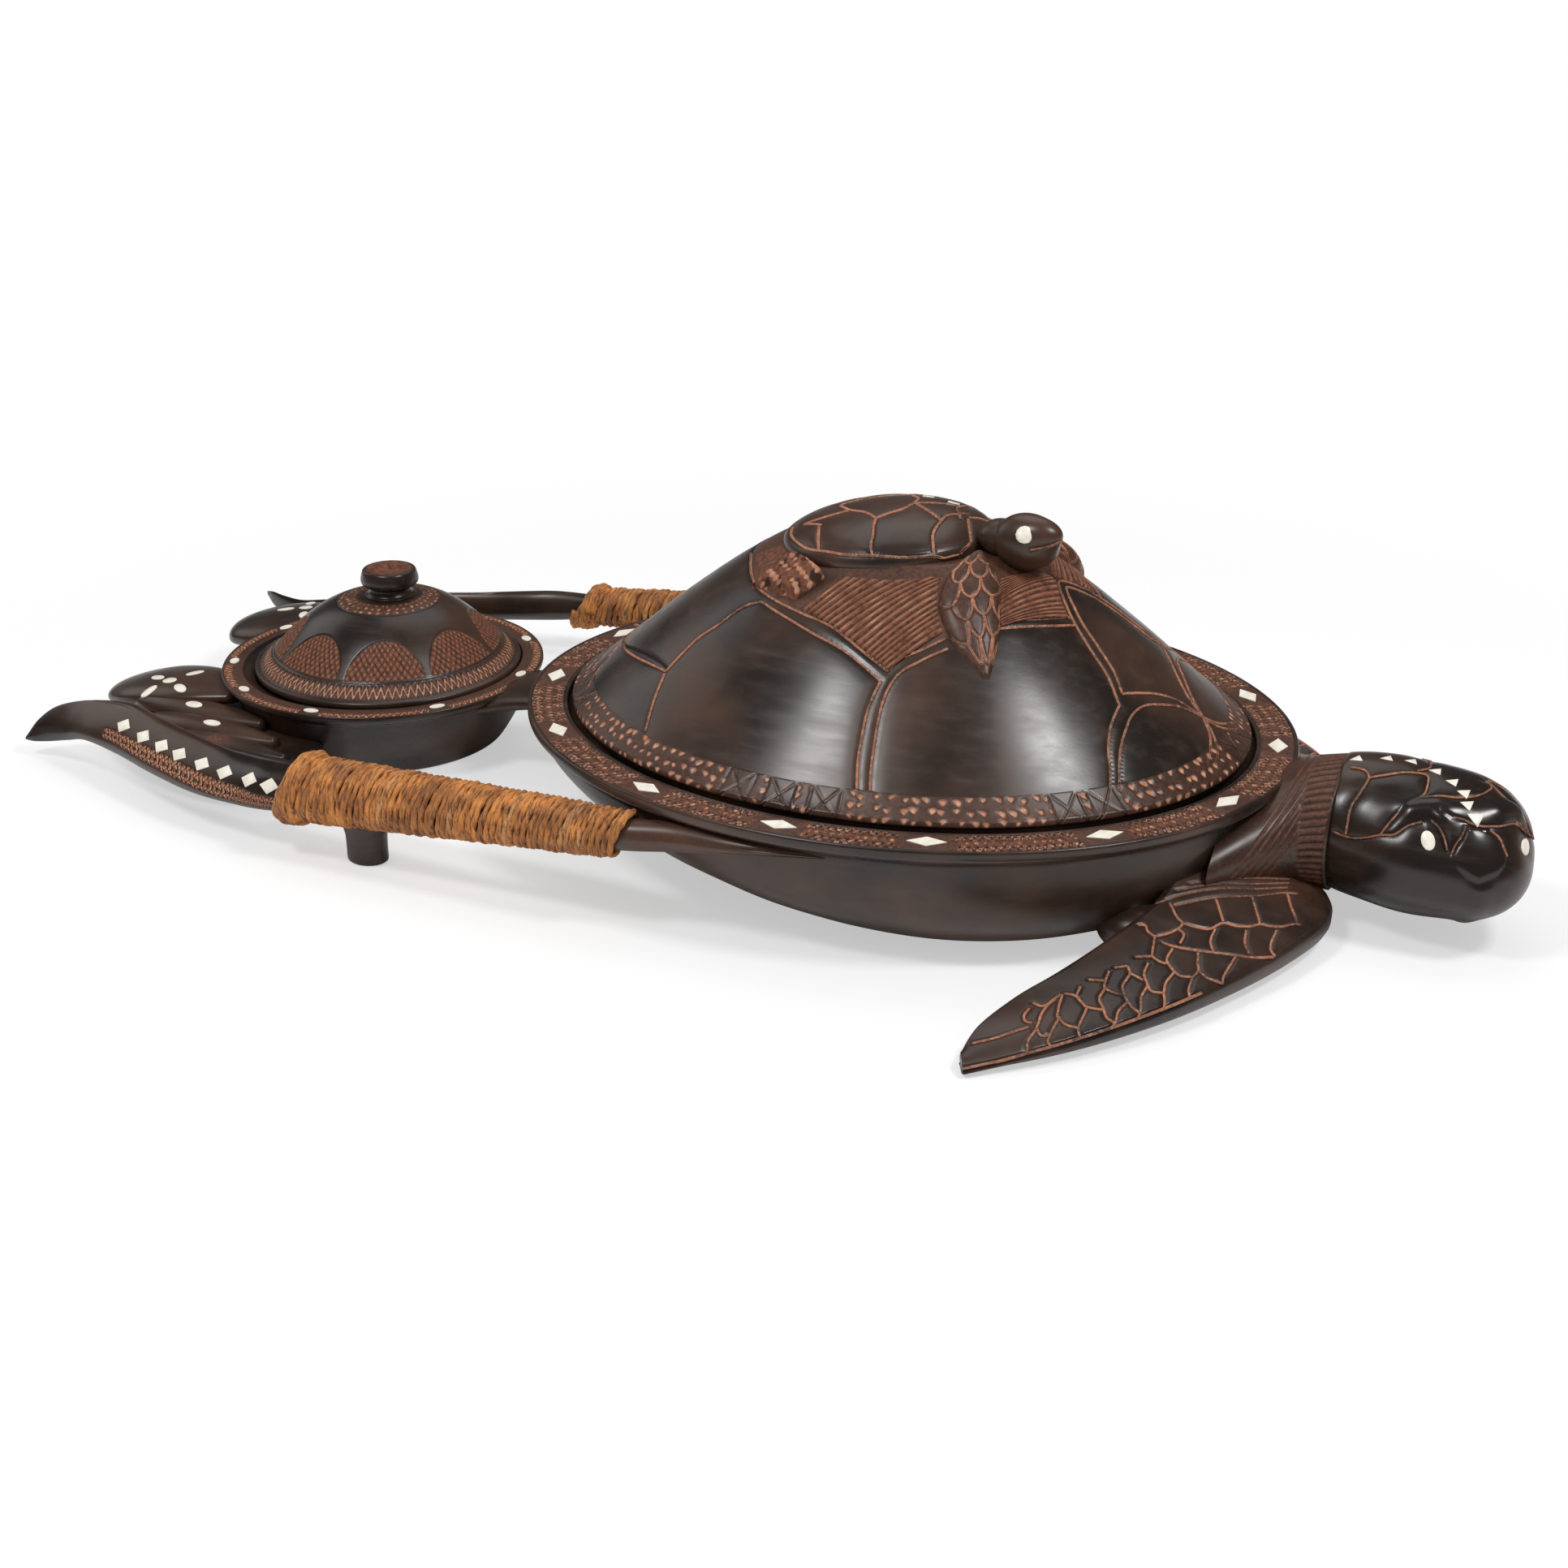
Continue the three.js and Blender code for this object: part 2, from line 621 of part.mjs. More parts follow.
// Neck collar from the hull to the head, and the head turned to the turtle's right
function collarRings(grow) {
  const stations = [[206, 88, 24, 42], [228, 62, 31, 45], [244, 46, 35, 48], [NECK_X, 40.5, 37.5, 49.5]];
  return stations.map(([x, halfY, halfZ, z], i) => {
    const ring = [];
    for (let k = 0; k < 24; k += 1) {
      const t = (2 * Math.PI * k) / 24;
      ring.push(point(x + (i === stations.length - 1 ? grow : 0), (halfY + grow) * Math.cos(t), z + (halfZ + grow) * Math.sin(t)));
    }
    return ring;
  });
}

const HEAD_BLEND = 10;
const HEAD_LOBES = [
  { at: [-34, 2, 3], radii: [72, 40, 40] },
  { at: [4, -3, 3], radii: [38, 41, 36] },
  { at: [-14, -6, -5], radii: [45, 42, 36] },
  { at: [14, -18, -7], radii: [29.5, 29, 25] },
];
const HEAD_EYES = { right: [-98.7, 23.7], left: [-24.7, 16.7] };
const HEAD_EYE_SIZE = [4.5, 6, 1.8];

function headSolid() {
  const head = blob(HEAD_CENTRE, HEAD_LOBES, HEAD_BLEND, 24, 16);
  const behind = new THREE.BoxGeometry(200, 200, 200).translate(NECK_X + GAP - 100, 0, 0);
  return cut(head, behind);
}

// Front flipper: sections between its inner and outer edges, from the shoulder to the tip
const FLIPPER_INNER = [[190, -46], [190, -84], [184, -116], [170, -148], [154, -181], [140, -205], [130.5, -234], [129.5, -254]];
const FLIPPER_OUTER = [[238, -12], [260, -28], [267, -58], [256, -98], [237, -141], [212, -184], [178, -226], [135, -264]];
const FLIPPER_TOP_INNER = [44, 44, 36, 29, 23, 18, 14, 8];
const FLIPPER_TOP_OUTER = [22, 21, 20, 19, 18, 16, 12, 5];
const FLIPPER_BASE = 1;
const FLIPPER_SHOULDER = [210, 60];
const FLIPPER_SWEEP = THREE.MathUtils.degToRad(4);

function frontFlipper() {
  const along = (points) => new THREE.CatmullRomCurve3(points.map(([x, y]) => point(x, y, 0)));
  const inner = along(FLIPPER_INNER);
  const outer = along(FLIPPER_OUTER);
  const count = FLIPPER_TOP_INNER.length;
  const sections = FLIPPER_TOP_INNER.map((zi, i) => {
    const a = inner.getPoint(i / (count - 1));
    const b = outer.getPoint(i / (count - 1));
    const zo = FLIPPER_TOP_OUTER[i];
    const at = (share, z) => point(lerp(a.x, b.x, share), lerp(a.y, b.y, share), z);
    return [
      at(0.06, FLIPPER_BASE), at(0, lerp(FLIPPER_BASE, zi, 0.5)), at(0.05, zi), at(0.35, lerp(zi, zo, 0.2) + 1.5),
      at(0.7, lerp(zi, zo, 0.6) + 1.5), at(0.95, zo), at(1, zo * 0.7), at(0.97, FLIPPER_BASE),
    ];
  });
  const lug = blob([176, -108, 17], [{ at: [0, 0, 0], radii: [22, 18, 14] }], 4, 12, 8);
  return fuse(skin(sections), lug);
}

// The left front flipper lies a little further back than the right one
function sweptLeft(flipper) {
  const [x, y] = FLIPPER_SHOULDER;
  return mirrored(flipper).translate(-x, -y, 0).rotateZ(FLIPPER_SWEEP).translate(x, y, 0);
}

// A flat tablet set into an oval rim: its outline in plan, long along the rim, between two levels
function tablet(outline, a, b, degrees, cx, low, high) {
  const t = THREE.MathUtils.degToRad(degrees);
  const along = point(-a * Math.sin(t), b * Math.cos(t), 0).normalize();
  const out = point(along.y, -along.x, 0);
  const level = (z) => outline.map(([u, v]) => (
    point(cx + a * Math.cos(t) + along.x * u + out.x * v, b * Math.sin(t) + along.y * u + out.y * v, z)
  ));
  return skin([level(low), level(high)]);
}

const diamond = (long, wide) => [[long, 0], [0, wide], [-long, 0], [0, -wide]];
const roundTablet = (long, wide) => oval(long, wide, 0, 12).map((p) => [p.x, p.y]);

// Tablets of one rim with their pockets; grown outlines keep the clearance all round
function rimInlays(shape, long, wide, degrees, a, b, cx, rimZ) {
  const inlays = degrees.map((t) => (
    tablet(shape(long, wide), a, b, t, cx, rimZ - INLAY_DEPTH + GAP, rimZ + INLAY_PROUD)
  ));
  const pockets = degrees.map((t) => (
    tablet(shape(long + 2 * GAP, wide + GAP), a, b, t, cx, rimZ - INLAY_DEPTH, rimZ + 1)
  ));
  return { inlays, pockets };
}

// An eye disc on a blob: a flattened ball at the surface, seen in a direction from the centre
function eye(centre, lobes, sharpness, [azimuth, elevation], [long, high, thick], grow) {
  const az = THREE.MathUtils.degToRad(azimuth);
  const el = THREE.MathUtils.degToRad(elevation);
  const d = point(Math.cos(el) * Math.cos(az), Math.cos(el) * Math.sin(az), Math.sin(el));
  const at = d.clone().multiplyScalar(blobRadius(d, lobes, sharpness)).add(point(...centre));
  const ball = new THREE.SphereGeometry(1, 10, 6).scale(long + grow, high + grow, thick + grow);
  const turn = new THREE.Matrix4().lookAt(d, point(0, 0, 0), point(0, 0, 1)).setPosition(at);
  return ball.applyMatrix4(turn);
}

const hullBlock = skin(hullRings(GAP, BOWL_SIDES));
const collarBlock = skin(collarRings(GAP));
const tailBlock = skin(tailBowlRings(GAP));
const domeCutter = domeBlock();
const cubCutter = cubShellBlank(GAP);

const rimMid = RIM_WIDTH / 2;
const rimSet = rimInlays(
  diamond, RIM_INLAY_LONG, RIM_INLAY_WIDE, RIM_INLAY_DEGREES, RIM_A - rimMid, RIM_B - rimMid, 0, RIM_Z,
);
const smallMid = TAIL_R - TAIL_RIM_WIDTH / 2;
const smallSet = rimInlays(
  roundTablet, SMALL_INLAY_LONG, SMALL_INLAY_WIDE, SMALL_INLAY_DEGREES, smallMid, smallMid, TAIL_X, TAIL_RIM_Z,
);
const headEye = (side, grow) => (
  eye(HEAD_CENTRE, HEAD_LOBES, HEAD_BLEND, HEAD_EYES[side], HEAD_EYE_SIZE, grow)
);
const cubEye = (side, grow) => (
  eye(CUB_HEAD, CUB_HEAD_LOBES, CUB_HEAD_BLEND, CUB_EYES[side], CUB_EYE_SIZE, grow)
);

place('main_bowl', cut(mainBowl(), ...rimSet.pockets));
rimSet.inlays.forEach((inlay, i) => place(`rim_inlay_${i + 1}`, inlay, SHELL));
place('neck_collar', cut(skin(collarRings(0)), hullBlock));
place('head', cut(headSolid(), headEye('right', GAP), headEye('left', GAP)));
['right', 'left'].forEach((side) => place(`head_eye_${side}`, headEye(side, 0), SHELL));
place('front_flipper_right', cut(frontFlipper(), hullBlock, collarBlock));
place('front_flipper_left', cut(sweptLeft(frontFlipper()), hullBlock, collarBlock));
place('tail_bridge', cut(tailBridge(), hullBlock, tailBlock));
place('small_bowl', cut(smallBowl(), ...smallSet.pockets));
smallSet.inlays.forEach((inlay, i) => place(`small_rim_inlay_${i + 1}`, inlay, SHELL));
['right', 'left'].forEach((side) => {
  place(`handle_${side}`, cut(handle(side), hullBlock));
  place(`binding_${side}`, binding(side), CORD);
  place(`foot_${side}`, foot(side));
  place(`hind_blade_${side}`, bladeSolid(side, 0));
  place(`hind_flipper_${side}`, cut(hindFlipper(side), tailBlock, bladeSolid(side, GAP)));
});
place('main_lid', mainLid());
place('lid_turtle_shell', cut(cubShellBlank(0), domeCutter));
const cubHead = blob(CUB_HEAD, CUB_HEAD_LOBES, CUB_HEAD_BLEND, 16, 10);
place('lid_turtle_head', cut(cubHead, cubCutter, domeCutter, cubEye('right', GAP), cubEye('left', GAP)));
['right', 'left'].forEach((side) => place(`lid_turtle_eye_${side}`, cubEye(side, 0), SHELL));
place('lid_turtle_front_flipper_right', cut(cubFrontFlipper(), domeCutter, cubCutter));
place('lid_turtle_front_flipper_left', cut(cubFrontFlipperLeft(), domeCutter, cubCutter));
place('lid_turtle_hind_flipper_right', cut(cubHindFlipper(), domeCutter, cubCutter));
place('lid_turtle_hind_flipper_left', cut(mirrored(cubHindFlipper()), domeCutter, cubCutter));
place('small_lid', smallLid());
place('small_lid_knob', smallLidKnob());

// The origin is the middle of the bounding box's base
const box = new THREE.Box3().setFromObject(root);
root.position.set(-(box.min.x + box.max.x) / 2, -(box.min.y + box.max.y) / 2, -box.min.z);
console.log('size mm', (box.max.x - box.min.x).toFixed(1), (box.max.y - box.min.y).toFixed(1), (box.max.z - box.min.z).toFixed(1));
console.log('main bowl centre mm', root.position.toArray().map((v) => v.toFixed(3)).join(' '));

export default root;
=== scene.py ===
"""Looks of the turtle bowl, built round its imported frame.

Shapes are worked out in millimetres in the bowl's own frame: the main bowl's middle is X = Y = 0, the
floor is Z = 0, +X is toward the head and +Y is the turtle's left. `added` moves them to the frame in metres.
"""
import math

import bpy
import numpy as np
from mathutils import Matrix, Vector


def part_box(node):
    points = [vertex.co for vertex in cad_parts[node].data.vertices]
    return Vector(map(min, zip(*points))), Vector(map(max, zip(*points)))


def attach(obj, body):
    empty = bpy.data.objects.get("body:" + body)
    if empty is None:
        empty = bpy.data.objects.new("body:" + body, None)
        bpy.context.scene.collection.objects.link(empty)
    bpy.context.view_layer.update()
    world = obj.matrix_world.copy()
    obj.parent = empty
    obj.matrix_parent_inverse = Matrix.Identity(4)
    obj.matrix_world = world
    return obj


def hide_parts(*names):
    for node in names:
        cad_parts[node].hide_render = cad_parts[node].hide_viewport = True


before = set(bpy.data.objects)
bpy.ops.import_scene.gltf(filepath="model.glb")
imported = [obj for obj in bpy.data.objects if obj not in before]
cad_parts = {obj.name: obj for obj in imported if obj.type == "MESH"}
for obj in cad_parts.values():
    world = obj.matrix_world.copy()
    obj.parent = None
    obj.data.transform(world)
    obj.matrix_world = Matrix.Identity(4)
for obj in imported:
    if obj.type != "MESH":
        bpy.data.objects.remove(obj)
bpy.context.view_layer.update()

MM = 0.001
bowl_low, bowl_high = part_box("main_bowl")
BOWL_MIDDLE = np.array([(bowl_low[0] + bowl_high[0]) / 2, (bowl_low[1] + bowl_high[1]) / 2, 0.0])

# Shapes: driving sizes
RIM_A, RIM_B, RIM_Z = 230.0, 193.0, 75.0
RIM_WIDTH, RIM_EDGE, RIM_OVERHANG = 24.0, 6.0, 7.0
RIM_FOLD = 0.7  # share of the overhang by which the hull stops short of the rim
HULL_TOP = RIM_Z - RIM_EDGE - RIM_FOLD * RIM_OVERHANG
KEEL_FORWARD, KEEL_CURVE = 59.0, 1.62
HULL_ENDS, HULL_SIDES = (0.36, 1.84), (0.54, 2.41)
LID_A, LID_B, LID_BASE, LID_EDGE = 202.8, 165.8, 70.3, 9.0
LID_RISE, LID_SHOULDER, LID_FLARE, LID_FLAT = 121.0, 1.72, 1.16, 0.32
BAND_SHARE = 0.932
TAIL_X, TAIL_R, TAIL_RIM_Z = -365.0, 104.0, 50.0
TAIL_FOOT, TAIL_FULLNESS = 0.77, 1.12
TAIL_LID_X, TAIL_LID_R, TAIL_LID_BASE, TAIL_LID_EDGE = -361.0, 85.5, 47.3, 5.0
TAIL_LID_RISE, TAIL_LID_SHOULDER, TAIL_LID_FLARE = 44.0, 3.0, 1.6
KNOB_X, KNOB_R = -356.0, 18.5
CUB_X, CUB_A, CUB_B = -12.0, 61.0, 58.5
CUB_BASE, CUB_RISE, CUB_TILT, CUB_APEX = 178.0, 21.0, 0.07, 6.0
HEAD_CENTRE, NECK_X = np.array([318.0, -2.0, 48.0]), 258.0
# Lobes: centre from the head's, and radii
HEAD_LOBES = [((-34, 2, 3), (72, 40, 40)), ((4, -3, 3), (38, 41, 36)),
              ((-14, -6, -2), (45, 42, 34)), ((14, -18, -4), (29.5, 29, 25))]
CUB_HEAD_CENTRE = np.array([74.0, -13.0, 191.5])
CUB_HEAD_LOBES = [((1, 0, -1), (19, 14.5, 16)), ((9, -4, 5), (13, 8.5, 8.5)), ((-16, 6, -2), (13, 12, 10))]
TAU = 2 * math.pi
SIDES = ("right", "left")


def spline(knots, values, at):
    """Cubic curve through values at rising knots; the slope at a knot is the mean of its two chords'."""
    knots, values, at = np.asarray(knots, float), np.asarray(values, float), np.asarray(at, float)
    flat = values.ndim == 1
    v = values[:, None] if flat else values
    chord = np.diff(v, axis=0) / np.diff(knots)[:, None]
    slope = np.vstack([chord[:1], (chord[1:] + chord[:-1]) / 2, chord[-1:]])
    i = np.clip(np.searchsorted(knots, at, side="right") - 1, 0, len(knots) - 2)
    h = (knots[i + 1] - knots[i])[:, None]
    t = (at - knots[i])[:, None] / h
    out = ((2 * t**3 - 3 * t**2 + 1) * v[i] + (t**3 - 2 * t**2 + t) * h * slope[i]
           + (3 * t**2 - 2 * t**3) * v[i + 1] + (t**3 - t**2) * h * slope[i + 1])
    return out[:, 0] if flat else out


def path_through(points, step):
    """Evenly spaced points on the cubic curve through the given ones, a step apart."""
    p = np.asarray(points, float)
    knots = np.concatenate([[0], np.cumsum(np.linalg.norm(np.diff(p, axis=0), axis=1))])
    return spline(knots, p, np.linspace(0, knots[-1], max(2, int(knots[-1] / step) + 1)))


def unit(v):
    return v / np.maximum(np.linalg.norm(v, axis=-1, keepdims=True), 1e-9)


def smoothstep(low, high, x):
    t = np.clip((x - low) / (high - low), 0, 1)
    return t * t * (3 - 2 * t)


def bell(gap, width):
    """1 at no distance, falling off as exp(-(gap / width)^2)."""
    return np.exp(-(gap / width) ** 2)


def stroke(gap, width):
    """1 on a line, falling straight to 0 at a width from it."""
    return np.clip(1 - gap / width, 0, 1)


def lines_at(place, lines, width):
    """Strokes along the lines at given places of a row of places."""
    return stroke(np.min([np.abs(place - k) for k in lines], axis=0), width)


def angles(n):
    return TAU * np.arange(n) / n


def hashed(*numbers):
    """A repeatable value in 0 to 1 for each set of whole numbers: the fraction of a large sine."""
    mixed = sum(np.asarray(n, float) * k for n, k in zip(numbers, (12.9898, 78.233, 37.719)))
    return np.mod(np.sin(mixed) * 43758.5453, 1.0)


def waves(p, size, seed):
    """Smooth unevenness of about -1 to 1: a sum of five sine waves in fixed directions."""
    total = np.zeros(p.shape[:-1])
    for k in range(5):
        way = unit(np.array([hashed(seed, k, 1), hashed(seed, k, 2), hashed(seed, k, 3)]) - 0.5)
        total += np.sin(p @ way * TAU / (size * (0.7 + 0.15 * k)) + TAU * hashed(seed, k, 4))
    return total / 3


def hull_share(s, foot, fullness):
    """Share of the full radius at a share s of the height: a superellipse that starts from a flat foot."""
    return foot + (1 - foot) * (1 - (1 - s) ** fullness) ** (1 / fullness)


def oval(a, b, z, n, cx=0.0):
    t = angles(n)
    return np.stack([cx + a * np.cos(t), b * np.sin(t), np.full(n, float(z))], -1)


def hull_level(a, b, s, z, n):
    """Oval at a share s of the hull's height, drawn in toward a keel that lies forward of the middle."""
    forward = KEEL_FORWARD * (1 - s) ** KEEL_CURVE
    return oval(a * hull_share(s, *HULL_ENDS), b * hull_share(s, *HULL_SIDES), z, n, forward)


def dome_rise(rho):
    """Height of the main lid above its edge at an oval share: flat on top, then a flared superellipse."""
    return LID_RISE * (1 - np.maximum(rho, LID_FLAT) ** LID_SHOULDER) ** LID_FLARE


def dome_height(x, y):
    return LID_BASE + LID_EDGE + dome_rise(np.minimum(np.hypot(x / LID_A, y / LID_B), 1.0))


def on_dome(xy):
    """Points of the main lid's top over plan positions."""
    xy = np.asarray(xy, float)
    return np.concatenate([xy, dome_height(xy[..., 0], xy[..., 1])[..., None]], -1)


def cub_share(xy):
    """Oval share of plan places on the small turtle's shell, whose ovals move forward toward its top.

    With u = x - CUB_X - CUB_APEX, the share s solves ((u + CUB_APEX s) / A)^2 + (y / B)^2 = s^2.
    """
    u, v = xy[..., 0] - CUB_X - CUB_APEX, xy[..., 1] * CUB_A / CUB_B
    lead = CUB_A**2 - CUB_APEX**2
    return (CUB_APEX * u + np.sqrt((CUB_APEX * u) ** 2 + lead * (u * u + v * v))) / lead


CUB_LIP, CUB_FULLNESS = 0.1, 0.62


def cub_level(share):
    """Height of the small shell over its base, in shares of its rise, at an oval share."""
    return CUB_LIP + (1 - CUB_LIP) * (1 - share**2) ** CUB_FULLNESS


def cub_shell_at(xy):
    """Points of the small turtle's shell: its height falls off with the oval share, on a tilted base."""
    xy = np.asarray(xy, float)
    level = cub_level(np.minimum(cub_share(xy), 1.0))
    z = CUB_BASE + CUB_TILT * (xy[..., 0] - CUB_X) + CUB_RISE * level
    return np.concatenate([xy, z[..., None]], -1)


def reach(direction, centre, radii):
    """Distance from the origin to the far side of an ellipsoid in each direction, 0 where it is missed."""
    d, c = direction / np.array(radii, float), np.array(centre, float) / np.array(radii, float)
    dd, dc = (d * d).sum(-1), d @ c
    inside = dc * dc - dd * (c @ c - 1)
    return np.where(inside > 0, np.maximum(0, (dc + np.sqrt(np.maximum(inside, 0))) / dd), 0)


def blob_radius(direction, lobes, sharpness):
    """Distance to a blend of ellipsoids: the root of the summed powers of their own distances."""
    return sum(reach(direction, c, r) ** sharpness for c, r in lobes) ** (1 / sharpness)


def direction_of(azimuth, elevation):
    level = np.cos(elevation)
    return np.stack([level * np.cos(azimuth), level * np.sin(azimuth), np.sin(elevation)], -1)


# Hind blade stations: x, y, height of the middle, half thickness, half height, lean of the top
BLADES = {
    "right": np.array([
        [-306, -175.6, 38.6, 13.4, 13.2, 0], [-330, -174.4, 36.9, 14.4, 13.9, 1],
        [-350, -171, 35.1, 14, 13.3, 3], [-385, -165, 33.4, 13, 12.2, 5],
        [-425, -153, 34.4, 12, 12.4, 6], [-465, -139, 35.2, 10.5, 12.3, 6],
        [-497, -130, 32.4, 9, 9.8, 6], [-517, -126, 27.6, 7.5, 10.4, 5], [-534, -127, 22.8, 5.5, 10, 3],
        [-546, -130, 17.5, 3.5, 6.3, 2], [-553, -133, 12.2, 0.8, 1.0, 0]]),
    "left": np.array([
        [-306, -175.6, 38.3, 8.6, 8.6, 0], [-330, -174.4, 36.2, 10.2, 10.6, 1], [-350, -171, 34.5, 11, 11, 2],
        [-385, -165, 31, 11, 11, 4], [-425, -153, 29, 11, 11, 5], [-465, -139, 26, 10, 10.5, 5],
        [-497, -130, 23.5, 9, 9.5, 4], [-517, -126, 21, 7.5, 9.5, 3], [-534, -127, 21.5, 5.5, 9, 2],
        [-547, -130, 24, 3.5, 6.5, 1], [-556, -133, 27, 0.8, 1.5, 0]]),
}
BLADE_SECTION = np.array([
    [1, -0.25], [0.8, 0.5], [0.45, 0.95], [0.15, 1], [-0.55, 0.5], [-1, -0.1], [-1, -0.6],
    [-0.45, -1], [0.45, -0.92]])


def blade_at(along, around, side):
    """Blade surface: a rounded section, 0 to 1 around, carried along stations 0 to 1 that lean and thin."""
    rows = BLADES[side]
    s = spline(np.linspace(0, 1, len(rows)), rows, np.ravel(along)).reshape(np.shape(along) + (6,))
    ring = np.vstack([BLADE_SECTION, BLADE_SECTION[:3]])
    places = np.arange(len(ring)) / len(BLADE_SECTION)
    c = spline(places, ring, np.mod(np.ravel(around), 1.0)).reshape(np.shape(around) + (2,))
    y = s[..., 1] + c[..., 0] * s[..., 3] + c[..., 1] * s[..., 5]
    return np.stack([s[..., 0], y, s[..., 2] + c[..., 1] * s[..., 4]], -1)


# Front flipper: inner and outer edge in plan, and the height of its top along both
FLIPPER_INNER = [
    [190, -46], [190, -84], [184, -116], [170, -148], [154, -181], [140, -205], [130.5, -234], [129.5, -254]]
FLIPPER_OUTER = [
    [238, -12], [260, -28], [267, -58], [256, -98], [237, -141], [212, -184], [178, -226], [135, -264]]
FLIPPER_TOP_INNER = [44, 44, 36, 29, 23, 18, 14, 8]
FLIPPER_TOP_OUTER = [22, 21, 20, 19, 18, 16, 12, 5]
FLIPPER_FALL = [0, 0.35, 0.7, 1], [0, 0.2, 0.6, 1]  # places across, and the share of the fall reached there
FLIPPER_CROWN = 1.6


def flipper_frame(along):
    """Inner edge, outer edge, and the height of the top along each, at shares of the flipper's length."""
    k = np.linspace(0, 1, len(FLIPPER_INNER))
    tables = (FLIPPER_INNER, FLIPPER_OUTER, FLIPPER_TOP_INNER, FLIPPER_TOP_OUTER)
    return [spline(k, table, np.ravel(along)) for table in tables]


def flipper_top(along, across):
    """Top of the front flipper: straight between its edges in plan, slightly crowned in height."""
    along, across = np.broadcast_arrays(np.asarray(along, float), np.asarray(across, float))
    inner, outer, inner_z, outer_z = flipper_frame(along)
    w = np.ravel(across)
    z = inner_z + (outer_z - inner_z) * spline(*FLIPPER_FALL, w)
    z += FLIPPER_CROWN * np.sin(np.pi * np.clip(w, 0, 1)) ** 0.8
    xy = inner + (outer - inner) * w[:, None]
    return np.concatenate([xy, z[:, None]], -1).reshape(along.shape + (3,))


# Mesh building
def normals_of(grid, wrap):
    """Unit normals of a grid of points, from the cross product of its two central differences."""
    down = np.gradient(grid, axis=0)
    if wrap:
        across = (np.roll(grid, -1, axis=1) - np.roll(grid, 1, axis=1)) / 2
    else:
        across = np.gradient(grid, axis=1)
    return unit(np.cross(across, down))


def quads(rows, columns, wrap, first=0):
    """Faces of a grid of points, with its last column joined to the first where it wraps."""
    r, c = np.meshgrid(np.arange(rows - 1), np.arange(columns if wrap else columns - 1), indexing="ij")
    here, below, beside = r * columns, (r + 1) * columns, (c + 1) % columns
    corners = [here + c, here + beside, below + beside, below + c]
    return first + np.stack(corners, -1).reshape(-1, 4)


def turned_in(points, faces, first, facing):
    """True where the summed face normals point against `facing`, or the enclosed volume is negative."""
    total = 0.0
    middle = points.mean(0)
    for f in faces:
        corner = [points[f[:, k] - first] - middle for k in range(f.shape[1])]
        for k in range(1, len(corner) - 1):
            normal = np.cross(corner[k] - corner[0], corner[k + 1] - corner[0])
            total += (normal @ np.array(facing)).sum() if facing is not None else (normal * corner[0]).sum()
    return total < 0


def fan(ring, centre):
    """Triangles from each side of a ring to one point."""
    return np.stack([ring, np.roll(ring, -1), np.full(len(ring), centre)], -1)


class Sheet:
    """Points and faces gathered for one piece, with one value per point for each named attribute."""

    def __init__(self):
        self.points, self.faces, self.marks, self.count = [], [], {}, 0

    def grid(self, grid, wrap=False, close=(False, False), loop=False, facing=None, **marks):
        """Adds a grid; close caps its first or last row with a point, loop joins the last row to the first.

        Faces point outward on a closed grid, by the sign of its volume, and along `facing` on an open one.
        """
        rows, columns = grid.shape[:2]
        first = self.count
        points = grid.reshape(-1, 3)
        values = {k: np.broadcast_to(v, (rows, columns)).reshape(-1) for k, v in marks.items()}
        faces = [quads(rows, columns, wrap, first)]
        if loop:
            last = first + (rows - 1) * columns + np.arange(columns)
            start = first + np.arange(columns)
            joined = np.stack([last, np.roll(last, -1), np.roll(start, -1), start], -1)
            faces.append(joined[: columns if wrap else columns - 1])
        for end, row in ((0, 0), (1, rows - 1)):
            if close[end]:
                centre = self.count + len(points)
                points = np.vstack([points, grid[row].mean(0)])
                on_row = slice(row * columns, (row + 1) * columns)
                values = {k: np.append(v, v[on_row].mean()) for k, v in values.items()}
                ring = first + row * columns + np.arange(columns)
                faces.append(fan(ring[::-1] if end == 0 else ring, centre))
        if turned_in(points, faces, first, facing):
            faces = [f[:, ::-1] for f in faces]
        self.add(points, faces, values)

    def solid(self, grid, **marks):
        """Adds a tube of closed rings, capped with a point at both ends."""
        self.grid(grid, wrap=True, close=(True, True), **marks)

    def add(self, points, faces, values):
        self.points.append(points)
        self.faces += faces
        for k in set(self.marks) | set(values):
            old = self.marks.get(k, np.zeros(self.count))
            new = values.get(k, np.zeros(len(points)))
            self.marks[k] = np.concatenate([old, new])
        self.count += len(points)


def tube(grid, **marks):
    """A sheet that holds one capped tube."""
    sheet = Sheet()
    sheet.solid(grid, **marks)
    return sheet


